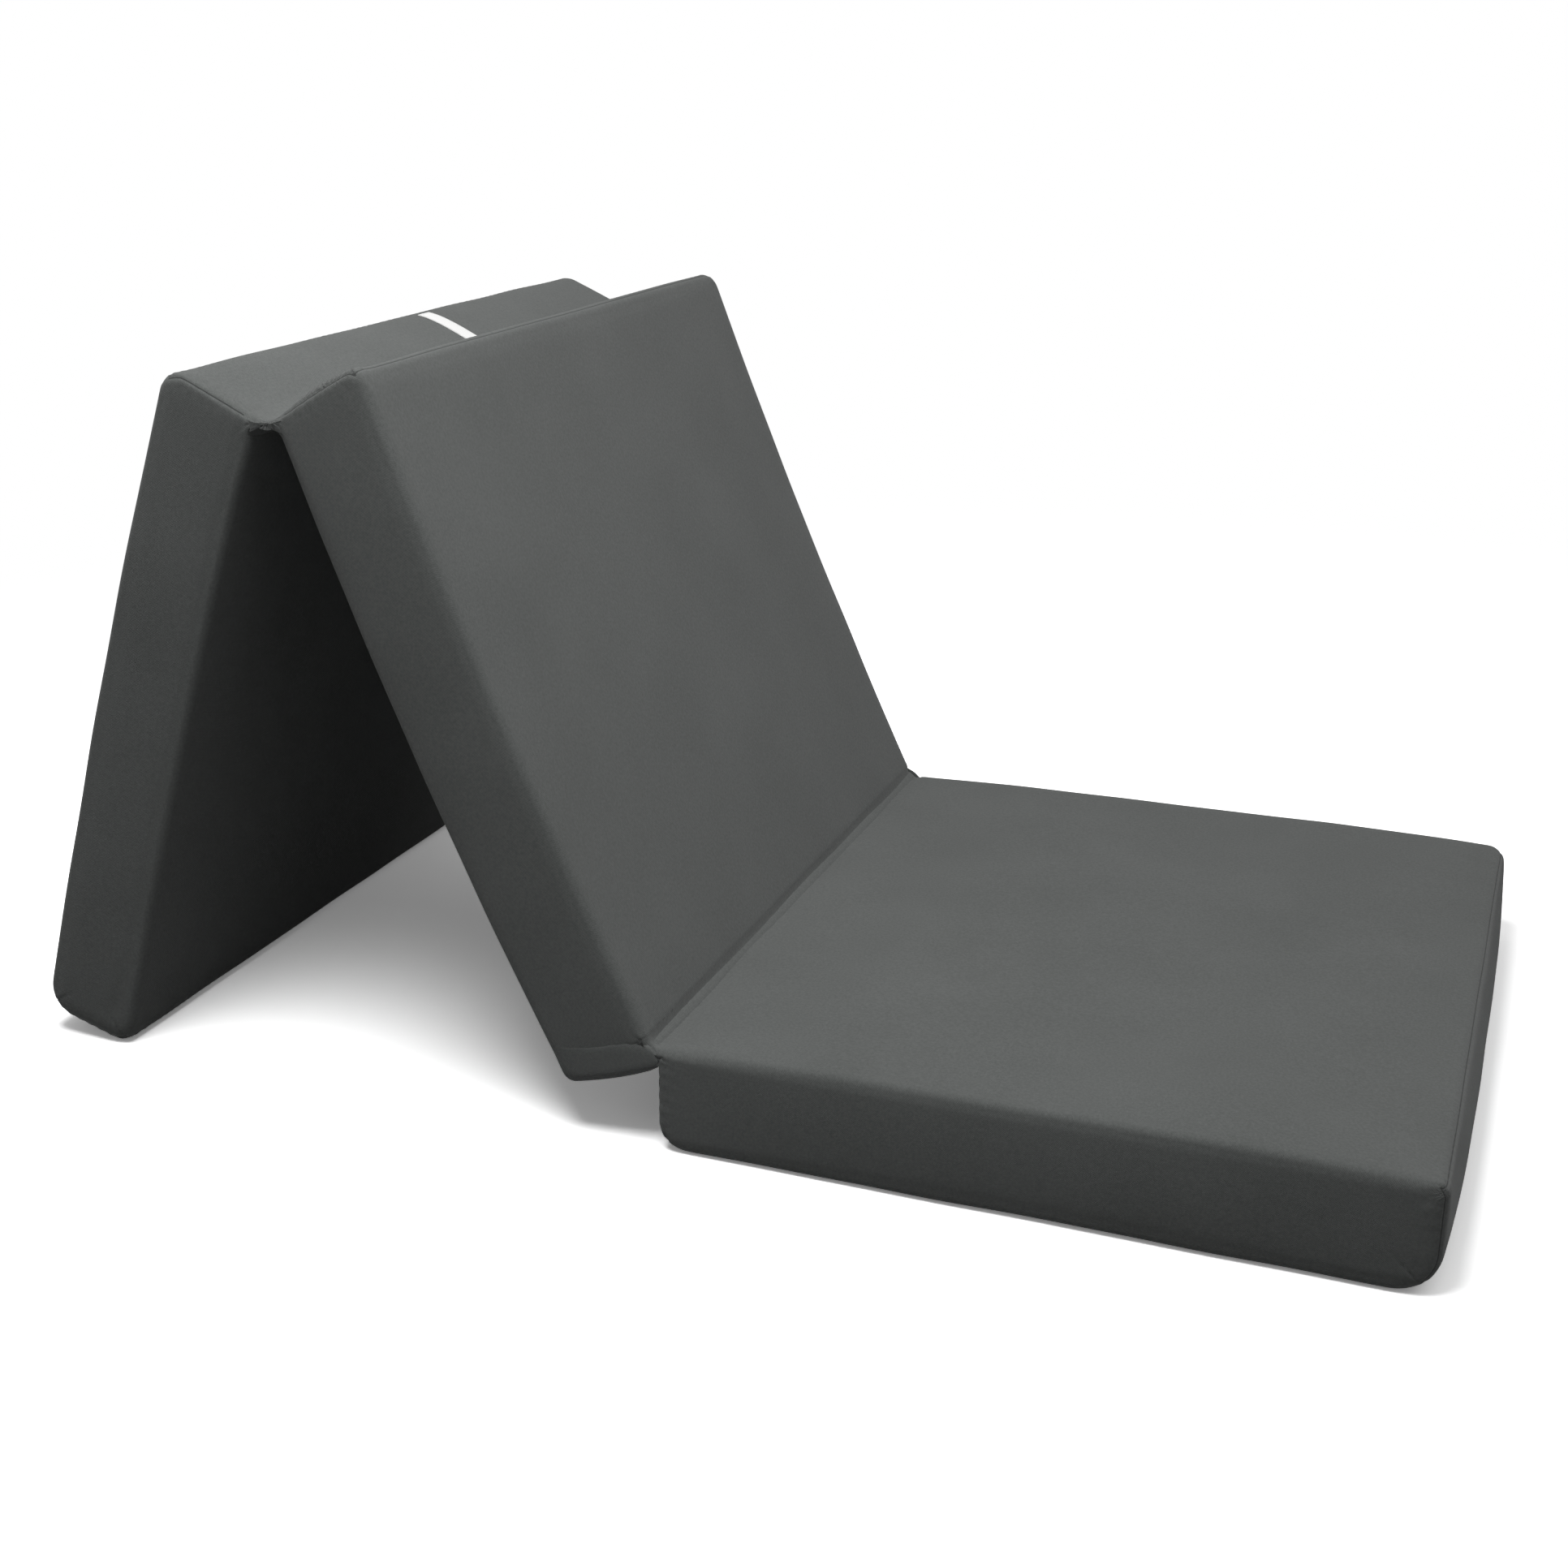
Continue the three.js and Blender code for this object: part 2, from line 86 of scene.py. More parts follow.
class MattressSizes(bpy.types.PropertyGroup):
    """Sizes of the mattress, in metres."""

    width: length("Width", "Width across the panels", 0.75)
    foot_length: length("Foot panel", "Length of the foot panel between its seams", 0.645)
    middle_length: length("Middle panel", "Length of the middle panel between its seams", 0.604)
    head_length: length("Head panel", "Length of the head panel between its seams", 0.652)
    height: length("Seam height", "Height of a panel between its seams", 0.094)
    fold_gap: length("Fold gap", "Gap between two panels when they lie flat", 0.008)
    fold_lift: length("Fold lift", "How far a fold line stands off the seams", 0.0035)
    foot_lift: length("Foot lift", "How far the foot panel's seams stand off the floor", 0.001)
    side_seam_radius: length("Side seam radius", "Radius of the edges round the long side faces", 0.007)
    side_bulge: length("Side bulge", "How far the near side faces swell", 0.0025)
    cap: length("Cloth travel", "How far the cloth may move when it is inflated", 0.0005)
    seam_depth: length("Seam depth", "Depth of the crease at a sewn seam", 0.0007)
    seam_width: length("Seam width", "Width of the crease at a sewn seam", 0.0013)
    pucker_depth: length("Pucker depth", "Height of the small puckers beside a seam", 0.00028)
    pucker_pitch: length("Pucker pitch", "Distance between the puckers beside a seam", 0.011)
    foam_inset: length("Foam inset", "Distance from the outside of a cover to its foam", 0.003)
    tab_length: length("Tab length", "Length of the white end tab", 0.066)
    tab_width: length("Tab width", "Width of the white end tab", 0.022)
    tab_offset: length("Tab offset", "Distance of the end tab from the middle", 0.028)


class MattressColours(bpy.types.PropertyGroup):
    """Colours of the mattress and its stage."""

    cloth: colour("Cloth", "Charcoal cloth of the covers", (0.118, 0.124, 0.121))
    cloth_dark: colour("Cloth, dark", "Darker threads of the cover cloth", (0.082, 0.087, 0.084))
    # The thread colour is also the colour of the painted shade in gathers and pinched pleats.
    thread: colour("Thread", "Sewing thread in the seams", (0.03, 0.032, 0.031))
    foam: colour("Foam", "Foam cores", (0.78, 0.72, 0.56))
    zip_tape: colour("Zip tape", "Cloth tape and teeth of the zips", (0.02, 0.021, 0.021))
    zip_metal: colour("Zip metal", "Sliders, pulls and stops of the zips", (0.035, 0.036, 0.037))
    tab: colour("Tab", "White tape of the end tab", (0.84, 0.84, 0.83))
    floor: colour("Floor", "Floor as the camera sees it", (0.93, 0.93, 0.93))
    bounce: colour("Floor bounce", "Floor as the mattress is lit by it", (0.15, 0.15, 0.15))


def sizes():
    return bpy.context.scene.mattress_sizes


def colours():
    return bpy.context.scene.mattress_colours


# Form of each panel: corner radii seen from the side, plan radii of its left and right end on the near and far
# side, swells and the way that it bends.
PANEL_FORMS = {
    "foot": {
        "edge_crown": 6 * MM, "top_crown": 3 * MM, "back_crown": 0.0, "bottom_crown": 1.5 * MM, "bow": 0.0,
        "bulges": (1 * MM, 8 * MM), "near_radii": (2.5 * MM, 12 * MM), "far_radii": (8 * MM, 18 * MM),
        "radii": {"left_top": 5 * MM, "right_top": 12 * MM, "right_bottom": 34 * MM, "left_bottom": 25 * MM},
    },
    "middle": {
        "edge_crown": 0.0, "top_crown": 3 * MM, "back_crown": 4 * MM, "bottom_crown": 3 * MM, "bow": -6 * MM,
        "bulges": (2 * MM, 0.0), "near_radii": (6 * MM, 2.5 * MM), "far_radii": (20 * MM, 8 * MM),
        "radii": {"left_top": 12 * MM, "right_top": 5 * MM, "right_bottom": 11 * MM, "left_bottom": 4 * MM},
    },
    "head": {
        "edge_crown": 0.0, "top_crown": 3 * MM, "back_crown": 0.0, "bottom_crown": 3 * MM, "bow": 6 * MM,
        "bulges": (1 * MM, 2 * MM), "near_radii": (18 * MM, 6 * MM), "far_radii": (18 * MM, 6 * MM),
        "radii": {"left_top": 26 * MM, "right_top": 22 * MM, "right_bottom": 4 * MM, "left_bottom": 22 * MM},
    },
}

# The rest angles of the standing panels, from flat: a fold's angle to flat is one end of its joint's range.
MIDDLE_LEAN = math.radians(66.2)
HEAD_LEAN = math.radians(72.38702012977113)


def panel_matrix(name):
    """Where a panel's own frame lies at rest: X along it, Y across it and Z through it, from its left bottom seam."""
    s = sizes()
    if name == "foot":
        return Matrix.Translation((-s.foot_length / 2, 0, s.foot_lift))
    joint = JOINTS["foot_middle_fold" if name == "middle" else "middle_head_fold"]
    if name == "middle":
        turn, offset = MIDDLE_LEAN, (-s.fold_gap / 2 - s.middle_length, 0, -s.height - s.fold_lift)
    else:
        turn, offset = -HEAD_LEAN, (-s.fold_gap / 2 - s.head_length, 0, s.fold_lift)
    return Matrix.Translation(joint["pos_m"]) @ Matrix.Rotation(turn, 4, "Y") @ Matrix.Translation(offset)


def panel_length(name):
    return getattr(sizes(), f"{name}_length")


# ---- shared modelling steps


def deselect_all():
    if bpy.context.mode != "OBJECT":
        bpy.ops.object.mode_set(mode="OBJECT")
    bpy.ops.object.select_all(action="DESELECT")


def only(obj):
    deselect_all()
    obj.select_set(True)
    bpy.context.view_layer.objects.active = obj


def apply_modifier(obj, kind, **settings):
    """Adds a modifier with its settings and applies it."""
    only(obj)
    modifier = obj.modifiers.new(kind.title(), kind)
    for key, value in settings.items():
        setattr(modifier, key, value)
    bpy.ops.object.modifier_apply(modifier=modifier.name)


def read_all(items, key, size=1, kind=np.float64):
    """One value of every item, as an array with a row for each item where the value has a size."""
    values = np.empty(len(items) * size, dtype=kind)
    items.foreach_get(key, values)
    return values.reshape(-1, size) if size > 1 else values


def get_points(obj):
    return read_all(obj.data.vertices, "co", 3)


def set_points(obj, points):
    obj.data.vertices.foreach_set("co", np.ascontiguousarray(points, dtype=np.float64).ravel())
    obj.data.update()


def corner_points(mesh):
    """The number of the point at each face corner."""
    return read_all(mesh.loops, "vertex_index", kind=np.int32)


def lay_out(obj, name, places):
    """A UV map from a pair of numbers for each face corner."""
    layer = obj.data.uv_layers.new(name=name)
    layer.data.foreach_set("uv", places.ravel().astype(np.float32))


def edit_faces(obj, wanted):
    """Goes into edit mode with only the wanted faces selected."""
    only(obj)
    bpy.ops.object.mode_set(mode="EDIT")
    bpy.ops.mesh.select_all(action="DESELECT")
    bpy.ops.mesh.select_mode(type="FACE")
    bpy.ops.object.mode_set(mode="OBJECT")
    for face in obj.data.polygons:
        face.select = wanted(face)
    bpy.ops.object.mode_set(mode="EDIT")


def cut_block(name, low, high, cuts):
    """A box between two corners, bisected across X, Y and Z at the places of the cuts."""
    deselect_all()
    centre = [(a + b) / 2 for a, b in zip(low, high)]
    bpy.ops.mesh.primitive_cube_add(size=1, location=centre)
    block = bpy.context.object
    block.name = block.data.name = name
    block.scale = [b - a for a, b in zip(low, high)]
    bpy.ops.object.transform_apply(location=True, rotation=True, scale=True)
    bpy.ops.object.mode_set(mode="EDIT")
    for axis, places in enumerate(cuts):
        normal = [float(axis == i) for i in range(3)]
        for place in places:
            bpy.ops.mesh.select_all(action="SELECT")
            bpy.ops.mesh.bisect(plane_co=[place * n for n in normal], plane_no=normal)
    bpy.ops.object.mode_set(mode="OBJECT")
    return block


def stations(total, near, far, step):
    """Cut places along an edge, close together near its two ends and even between them."""
    first, last = near[-1], total - far[-1]
    count = max(1, round((last - first) / step))
    between = np.linspace(first, last, count + 1)[1:-1]
    return [*near, *between, *from_other_end(far, total)]


def smooth_step(values, low, high):
    """0 below low, 1 above high and a smooth rise between them."""
    t = np.clip((values - low) / (high - low), 0, 1)
    return t * t * (3 - 2 * t)


def arch(share):
    """0 at both ends of a way and 1 in its middle."""
    return 1 - (2 * share - 1) ** 2


def from_other_end(places, total):
    """The same places again, measured from the other end."""
    return [total - place for place in reversed(places)]


def ripple(points, pitch, seed):
    """Soft bumps of about that pitch from summed waves in fixed, scattered directions, from -1 to 1."""
    draw = np.random.default_rng(seed)
    total = np.zeros(len(points))
    waves = 7
    for _ in range(waves):
        way = draw.normal(size=3)
        way *= 2 * math.pi / (pitch * draw.uniform(0.7, 1.6) * np.linalg.norm(way))
        total += np.sin(points @ way + draw.uniform(0, 2 * math.pi))
    return total / math.sqrt(waves)


# ---- the panel form


def draw_in(radius, distance):
    """How far a rounded edge has drawn in at a distance from the face that it runs into."""
    left = np.clip(radius - distance, 0, radius)
    return radius - np.sqrt(radius**2 - left**2)


def round_corners(x, z, low_x, high_x, low_z, high_z, radii):
    """Turns the corners of nested rectangles into arcs."""
    x, z = x.copy(), z.copy()
    for key, radius in radii.items():
        sx = -1 if key.startswith("left") else 1
        sz = 1 if key.endswith("top") else -1
        centre_x = (high_x if sx > 0 else low_x) - sx * radius
        centre_z = (high_z if sz > 0 else low_z) - sz * radius
        a = sx * (x - centre_x) / radius
        b = sz * (z - centre_z) / radius
        inside = (a > 0) & (b > 0)
        reach = np.maximum(a, b)
        safe = np.where(reach > 0, reach, 1)
        angle = np.where(b >= a, math.pi / 2 - a / safe * math.pi / 4, b / safe * math.pi / 4)
        x = np.where(inside, centre_x + sx * radius * reach * np.cos(angle), x)
        z = np.where(inside, centre_z + sz * radius * reach * np.sin(angle), z)
    return x, z


def block_half_width(inset=0.0):
    """Half the width of a block whose edges are rolled into the side seams' arcs."""
    s = sizes()
    return s.width / 2 - inset + (s.side_seam_radius - inset) * (math.pi / 2 - 1)


def plan_radius(name, end, y, rise):
    """Radius of the upright corner at an end, on the side of y and at a share of the height.

    The left end is 0 and the right end is 1.
    """
    form = PANEL_FORMS[name]
    near, far = form["near_radii"][end], form["far_radii"][end]
    if name == "head" and end == 1:
        far = far + HEAD_FAR_CORNER * smooth_step(rise, 0.2, 0.9)
    return np.where(y < 0, near, far)


def shape_panel(points, name, inset=0.0):
    """Moves points of a plain block onto the panel's rounded, swollen form, moved in by the inset."""
    s = sizes()
    form = PANEL_FORMS[name]
    total = panel_length(name)
    radius = s.side_seam_radius - inset
    half = s.width / 2 - inset
    x, y, z = points.T
    off = block_half_width(inset) - np.abs(y)
    roll = np.clip(off / radius, 0, math.pi / 2)
    distance = np.where(off < radius * math.pi / 2, radius * (1 - np.cos(roll)), off - radius * (math.pi / 2 - 1))
    share_x = (x - inset) / (total - 2 * inset)
    share_z = (z - inset) / (s.height - 2 * inset)
    plan = [np.maximum(plan_radius(name, end, y, share_z) - inset, 0.5 * MM) for end in (0, 1)]
    low_x = inset + draw_in(plan[0], distance)
    high_x = total - inset - draw_in(plan[1], distance)
    low_z = inset + draw_in(radius, distance)
    high_z = s.height - low_z
    radii = {key: max(value - inset, 1 * MM) for key, value in form["radii"].items()}
    x, z = round_corners(
        low_x + share_x * (high_x - low_x), low_z + share_z * (high_z - low_z), low_x, high_x, low_z, high_z, radii
    )
    y = np.sign(y) * (half - distance)
    return swell(np.stack([x, y, z], axis=1), name)


def crown_across(y):
    """The height of a face's crown across the panel, as a share of its height in the middle."""
    return 1 - np.minimum(1, np.abs(2 * y / sizes().width)) ** 4


def swell(points, name):
    """The faces rise between the seams, the ends bulge and the whole panel bends."""
    s = sizes()
    form = PANEL_FORMS[name]
    x, y, z = points.T
    run = x / panel_length(name)
    rise = z / s.height
    along = 1 - np.abs(2 * run - 1) ** 3
    across = crown_across(y)
    top = along * (form["edge_crown"] + form["top_crown"] * across)
    bottom = along * (form["back_crown"] + form["bottom_crown"] * across)
    left, right = form["bulges"]
    ends = arch(rise) ** 2 * across * (run * right - (1 - run) * left)
    if name == "foot":
        top = top + TOE_RISE * smooth_step(run, TOE_START, 1)
    else:
        outwards, from_apex, roll_share = (-1, run, 1) if name == "middle" else (1, 1 - run, HEAD_ROLL_SHARE)
        drawn = 1 - smooth_step(from_apex, 0, APEX_REACH)
        rolled = roll_share * (1 - smooth_step(from_apex, 0, ROLL_REACH))
        ends = ends + outwards * (rolled * near_roll(y, rise) - drawn * apex_drop(y, rise))
        bottom = bottom + drawn * APEX_LEAN
    return np.stack([x + ends, y, z + rise * top - (1 - rise) * bottom + arch(run) * form["bow"]], axis=1)


def make_room(points, name):
    """Lowers the crowns that stand past the plane of a fold, so that closed panels lie on each other."""
    s = sizes()
    x, y, z = points.T

    def lowered(past):
        past = np.maximum(past, 0)
        return ROOM_SHARE * crown_across(y) * past**2 / (past + 1 * MM)

    if name != "head":
        z = z - lowered(z - s.height - s.fold_lift)
    if name != "foot":
        z = z + lowered(-s.fold_lift - z)
    return np.stack([x, y, z], axis=1)


ROOM_SHARE = 0.65


def apex_drop(y, rise):
    """How far an end face is drawn in towards its inner edge, where the upper fold pulls on it."""
    beside = 1 - smooth_step(sizes().width / 2 - np.abs(y), *APEX_SIDE_REACH)
    return (APEX_DROP + APEX_DROP_SIDE * beside) * np.clip(1 - rise, 0, 1)


def near_roll(y, rise):
    """A roll of gathered cloth on an end face, beside its near seam."""
    beside = sizes().width / 2 + y
    hump = np.exp(-(((beside - NEAR_ROLL_PLACE) / NEAR_ROLL_WIDTH) ** 2))
    return NEAR_ROLL * hump * np.clip(arch(rise), 0, 1)


APEX_DROP = 8 * MM
APEX_DROP_SIDE = 4.5 * MM
APEX_SIDE_REACH = (10 * MM, 160 * MM)
APEX_LEAN = 1.5 * MM
APEX_REACH = 0.14
NEAR_ROLL = 5 * MM
NEAR_ROLL_PLACE = 12 * MM
NEAR_ROLL_WIDTH = 9 * MM
HEAD_ROLL_SHARE = 0.3
ROLL_REACH = 0.08
TOE_RISE = 4 * MM
TOE_START = 0.35
HEAD_FAR_CORNER = 5 * MM


def side_swell(points, name):
    """The near side face swells a little. The far one stays flat for its zip."""
    s = sizes()
    x, y, z = points.T
    run = x / panel_length(name)
    rise = np.clip(z / s.height, 0, 1)
    near = smooth_step(-y, s.width / 2 - 60 * MM, s.width / 2)
    push = near * (1 - (2 * run - 1) ** 4) * arch(rise)
    points = points.copy()
    points[:, 1] -= s.side_bulge * np.clip(push, 0, None)
    return points


ZIP_LENGTH = 423.2 * MM
ZIP_HALF_HEIGHT = 8 * MM
ZIP_BOW_SHARE = 0.6


def zip_height(name):
    return sizes().height / 2 + ZIP_BOW_SHARE * PANEL_FORMS[name]["bow"]


def straighten_zip(points, name):
    """The bent panel's far side face is drawn straight along its zip."""
    s = sizes()
    x, y, z = points.T
    bow = PANEL_FORMS[name]["bow"]
    total = panel_length(name)
    bend = arch(x / total)
    rest = z - bend * bow
    far = smooth_step(y, s.width / 2 - 12 * MM, s.width / 2 - 2 * MM)
    beyond = np.abs(x - total / 2) - ZIP_LENGTH / 2
    fade = (1 - smooth_step(np.abs(rest - s.height / 2), 9 * MM, 36 * MM)) * (1 - smooth_step(beyond, 0, 50 * MM))
    points = points.copy()
    points[:, 2] += far * fade * (zip_height(name) - s.height / 2 - bend * bow)
    return points


def seam_reach(name, end, side, rise):
    """How far from the middle the seam of an end face turns into the upright corner on one side."""
    radius = sizes().side_seam_radius
    drawn = plan_radius(name, end, side, rise) * np.ones(len(rise)) * (1 - math.sqrt(0.5))
    rolled = radius * np.arccos(1 - np.minimum(drawn / radius, 1))
    return block_half_width() - np.where(drawn < radius, rolled, drawn + radius * (math.pi / 2 - 1))


def seam_loop(name, end):
    """Points along the sewn seam round one end face, in the panel's frame, and how far each is along it."""
    s = sizes()
    total = panel_length(name)
    x = total * end
    count = 500
    rise = np.linspace(0, 1, count // 4)
    near, far = (seam_reach(name, end, side, rise) for side in (-1, 1))
    flat = np.concatenate(
        [
            np.stack([np.full(count, x), np.linspace(-near[-1], far[-1], count), np.full(count, s.height)], axis=1),
            np.stack([np.full(len(rise), x), far[::-1], rise[::-1] * s.height], axis=1),
            np.stack([np.full(count, x), np.linspace(far[0], -near[0], count), np.zeros(count)], axis=1),
            np.stack([np.full(len(rise), x), -near, rise * s.height], axis=1),
        ]
    )
    points = side_swell(shape_panel(flat, name), name)
    steps = np.linalg.norm(np.diff(points, axis=0), axis=1)
    sides = [(0, 0, 1)] * count + [(0, 1, 0)] * len(rise) + [(0, 0, -1)] * count + [(0, -1, 0)] * len(rise)
    across = np.array([2.0 * end - 1, 0, 0]) - np.array(sides)
    return points, np.concatenate([[0], np.cumsum(steps)]), across


def seam_distances(points, name):
    """Each point's distance from the nearest end seam, more than 0 on the end face, and how far along it lies."""
    loops = [seam_loop(name, end) for end in (0, 1)]
    path, run, across = (np.concatenate(parts) for parts in zip(*loops))
    tree = kdtree.KDTree(len(path))
    for i, p in enumerate(path):
        tree.insert(p, i)
    tree.balance()
    index = np.array([tree.find(p)[1] for p in points])
    return np.einsum("ij,ij->i", points - path[index], across[index]) / math.sqrt(2), run[index]


def seam_relief(distance, run, points, seed):
    """Height of the cloth beside a sewn seam: a crease, a soft roll on both sides and small puckers."""
    s = sizes()
    distance = np.abs(distance)
    crease = -s.seam_depth * np.exp(-((distance / s.seam_width) ** 2))
    roll = 0.2 * s.seam_depth * np.exp(-(((distance - 3.2 * s.seam_width) / (2 * s.seam_width)) ** 2))
    phase = 2 * math.pi * run / s.pucker_pitch + PUCKER_WANDER * ripple(points, 90 * MM, seed)
    strength = 0.55 + 0.45 * ripple(points, 160 * MM, seed + 1)
    fade = np.exp(-distance / PUCKER_REACH) * smooth_step(distance, 0, s.seam_width)
    return crease + roll + s.pucker_depth * strength * fade * np.sin(phase)


PUCKER_WANDER = 2.2
PUCKER_REACH = 9 * MM


def inflate(obj, pins, cap):
    """Blows the cloth up a little between its pinned seams, and limits how far each point moves."""
    before = get_points(obj)
    group = obj.vertex_groups.new(name="pins")
    for i in np.flatnonzero(pins > 0):
        group.add([int(i)], float(pins[i]), "REPLACE")
    only(obj)
    cloth = obj.modifiers.new("Cloth", "CLOTH")
    settings = cloth.settings
    settings.quality = 5
    settings.mass = 0.3
    settings.tension_stiffness = settings.compression_stiffness = 15
    settings.shear_stiffness = 5
    settings.bending_stiffness = 0.5
    settings.use_pressure = True
    settings.uniform_pressure_force = 4
    settings.vertex_group_mass = group.name
    settings.effector_weights.gravity = 0
    cloth.point_cache.frame_start = 1
    cloth.point_cache.frame_end = CLOTH_FRAMES
    scene = bpy.context.scene
    for number in range(1, CLOTH_FRAMES + 1):
        scene.frame_set(number)
    bpy.ops.object.modifier_apply(modifier=cloth.name)
    scene.frame_set(1)
    moved = get_points(obj) - before
    far = np.linalg.norm(moved, axis=1, keepdims=True)
    set_points(obj, before + moved * cap * np.tanh(far / cap) / np.maximum(far, 1e-9))
    obj.vertex_groups.clear()


CLOTH_FRAMES = 20


def store(obj, name, values):
    """Keeps one number for each point as an attribute that a material can read."""
    attribute = obj.data.attributes.new(name, "FLOAT", "POINT")
    attribute.data.foreach_set("value", np.asarray(values, dtype=np.float32))


def lay_out_cloth(obj):
    """A UV map in metres, laid on each face along the panel's own axes, so that the weave runs true."""
    faces = obj.data.polygons
    facing = np.argmax(np.abs(read_all(faces, "normal", 3)), axis=1)
    facing = np.repeat(facing, read_all(faces, "loop_total", kind=np.int32))
    x, y, z = get_points(obj)[corner_points(obj.data)].T
    lay_out(obj, "Cloth", np.stack([np.choose(facing, [y, x, x]), np.choose(facing, [z, z, y])], axis=1))


def lay_out_hem(obj, name):
    """A UV map in metres from the middle of the zip, on the far side face. Elsewhere it lies far off."""
    laid = np.full((len(obj.data.loops), 2), FAR_OFF)
    if name:
        x, y, z = get_points(obj)[corner_points(obj.data)].T
        near_zip = np.stack([x - panel_length(name) / 2, z - zip_height(name)], axis=1)
        laid = np.where(y[:, None] > sizes().width / 2 - 4 * MM, near_zip, laid)
    lay_out(obj, "Hem", laid)


def dress(obj, material):
    obj.data.materials.clear()
    obj.data.materials.append(material)
    only(obj)
    bpy.ops.object.shade_smooth_by_angle(angle=math.radians(40))


# ---- materials


def feed(tree, made, inputs):
    """Gives a node's inputs sockets to read or values of their own. Colours are given without their alpha."""
    for key, value in inputs.items():
        socket = made.inputs[key]
        if isinstance(value, bpy.types.NodeSocket):
            tree.links.new(value, socket)
        else:
            socket.default_value = (*value, 1) if socket.type == "RGBA" else value


def node(tree, kind, inputs=None, **settings):
    """A node with its settings and inputs. The nodes stand in columns, in the order in which they are made."""
    made = tree.nodes.new(kind)
    column, row = divmod(len(tree.nodes), 6)
    made.location = (200 * column, -200 * row)
    for key, value in settings.items():
        setattr(made, key, value)
    feed(tree, made, inputs or {})
    return made


def math_node(tree, operation, *values, clamp=False):
    """The result of a Math node whose inputs are sockets or numbers."""
    return node(tree, "ShaderNodeMath", dict(enumerate(values)), operation=operation, use_clamp=clamp).outputs[0]


def vector_node(tree, operation, result, *values):
    """The result of a Vector Math node."""
    return node(tree, "ShaderNodeVectorMath", dict(enumerate(values)), operation=operation).outputs[result]


def mix_colour(tree, share, a, b):
    """Colour a where the share is 0 and b where it is 1."""
    return node(tree, "ShaderNodeMix", {0: share, 6: a, 7: b}, data_type="RGBA").outputs[2]


def map_range(tree, value, low, high, **settings):
    """A value's share of the way from low to high."""
    return node(tree, "ShaderNodeMapRange", {"From Min": low, "From Max": high, "Value": value}, **settings).outputs[0]


def noise(tree, where, **inputs):
    """Noise at the places where, with inputs named in lower case."""
    inputs = {"Vector": where, **{key.title(): value for key, value in inputs.items()}}
    return node(tree, "ShaderNodeTexNoise", inputs).outputs["Fac"]


def object_places(tree):
    return node(tree, "ShaderNodeTexCoord").outputs["Object"]


def bump(tree, height, strength, distance):
    """The normal of a surface that has small heights."""
    inputs = {"Strength": strength, "Distance": distance, "Height": height}
    return node(tree, "ShaderNodeBump", inputs).outputs["Normal"]


def weave_nodes(tree, given):
    """Woven cloth from a UV map in metres: the height of its threads and a mottled tone."""
    split = node(tree, "ShaderNodeSeparateXYZ", {0: given["Layout"]})
    waves = []
    for key in ("X", "Y"):
        turns = math_node(tree, "DIVIDE", split.outputs[key], given["Thread Pitch"])
        waves.append(math_node(tree, "SINE", math_node(tree, "MULTIPLY", turns, math.pi)))
    cross = math_node(tree, "MULTIPLY", *waves)
    mottle = noise(tree, given["Place"], scale=given["Mottle Scale"], detail=3, roughness=0.62)
    broad = noise(tree, given["Place"], scale=9, detail=2)
    height = math_node(tree, "ADD", math_node(tree, "MULTIPLY", cross, 0.5), mottle)
    tone = math_node(tree, "ADD", math_node(tree, "MULTIPLY", cross, 0.12), mottle)
    soft = math_node(tree, "MULTIPLY_ADD", broad, 0.35, -0.175)
    return height, math_node(tree, "ADD", tone, soft, clamp=True)


def stitch_nodes(tree, given):
    """Sewing thread along a seam, from the distance to the seam and the length along it, in metres."""
    part = math_node(tree, "DIVIDE", math_node(tree, "ABSOLUTE", given["Offset"]), given["Half Width"])
    line = math_node(tree, "SUBTRACT", 1.0, part, clamp=True)
    line = math_node(tree, "MULTIPLY", line, 1.6, clamp=True)
    along = math_node(tree, "FRACT", math_node(tree, "DIVIDE", given["Run"], given["Pitch"]))
    dash = math_node(tree, "GREATER_THAN", along, 0.3)
    return line, math_node(tree, "MULTIPLY", line, dash)


def gather_nodes(tree, given):
    """Small gathers across a seam, from the length along it and how much the cloth is gathered there: their heights,
    and painted shade that is darkest in their valleys and lies over the whole gathered strip.
    """
    stray = noise(tree, given["Place"], scale=130)
    count = math_node(tree, "DIVIDE", given["Run"], given["Pitch"])
    wander = math_node(tree, "MULTIPLY_ADD", stray, 2.4, count)
    wave = math_node(tree, "SINE", math_node(tree, "MULTIPLY", wander, 2 * math.pi))
    height = math_node(tree, "MULTIPLY", wave, given["Amount"])
    # Painted shade: darkest in the valleys of the gathers, and some over the whole gathered strip.
    dark = math_node(tree, "MULTIPLY_ADD", wave, -0.5, 0.6)
    return height, math_node(tree, "MULTIPLY", dark, given["Amount"])


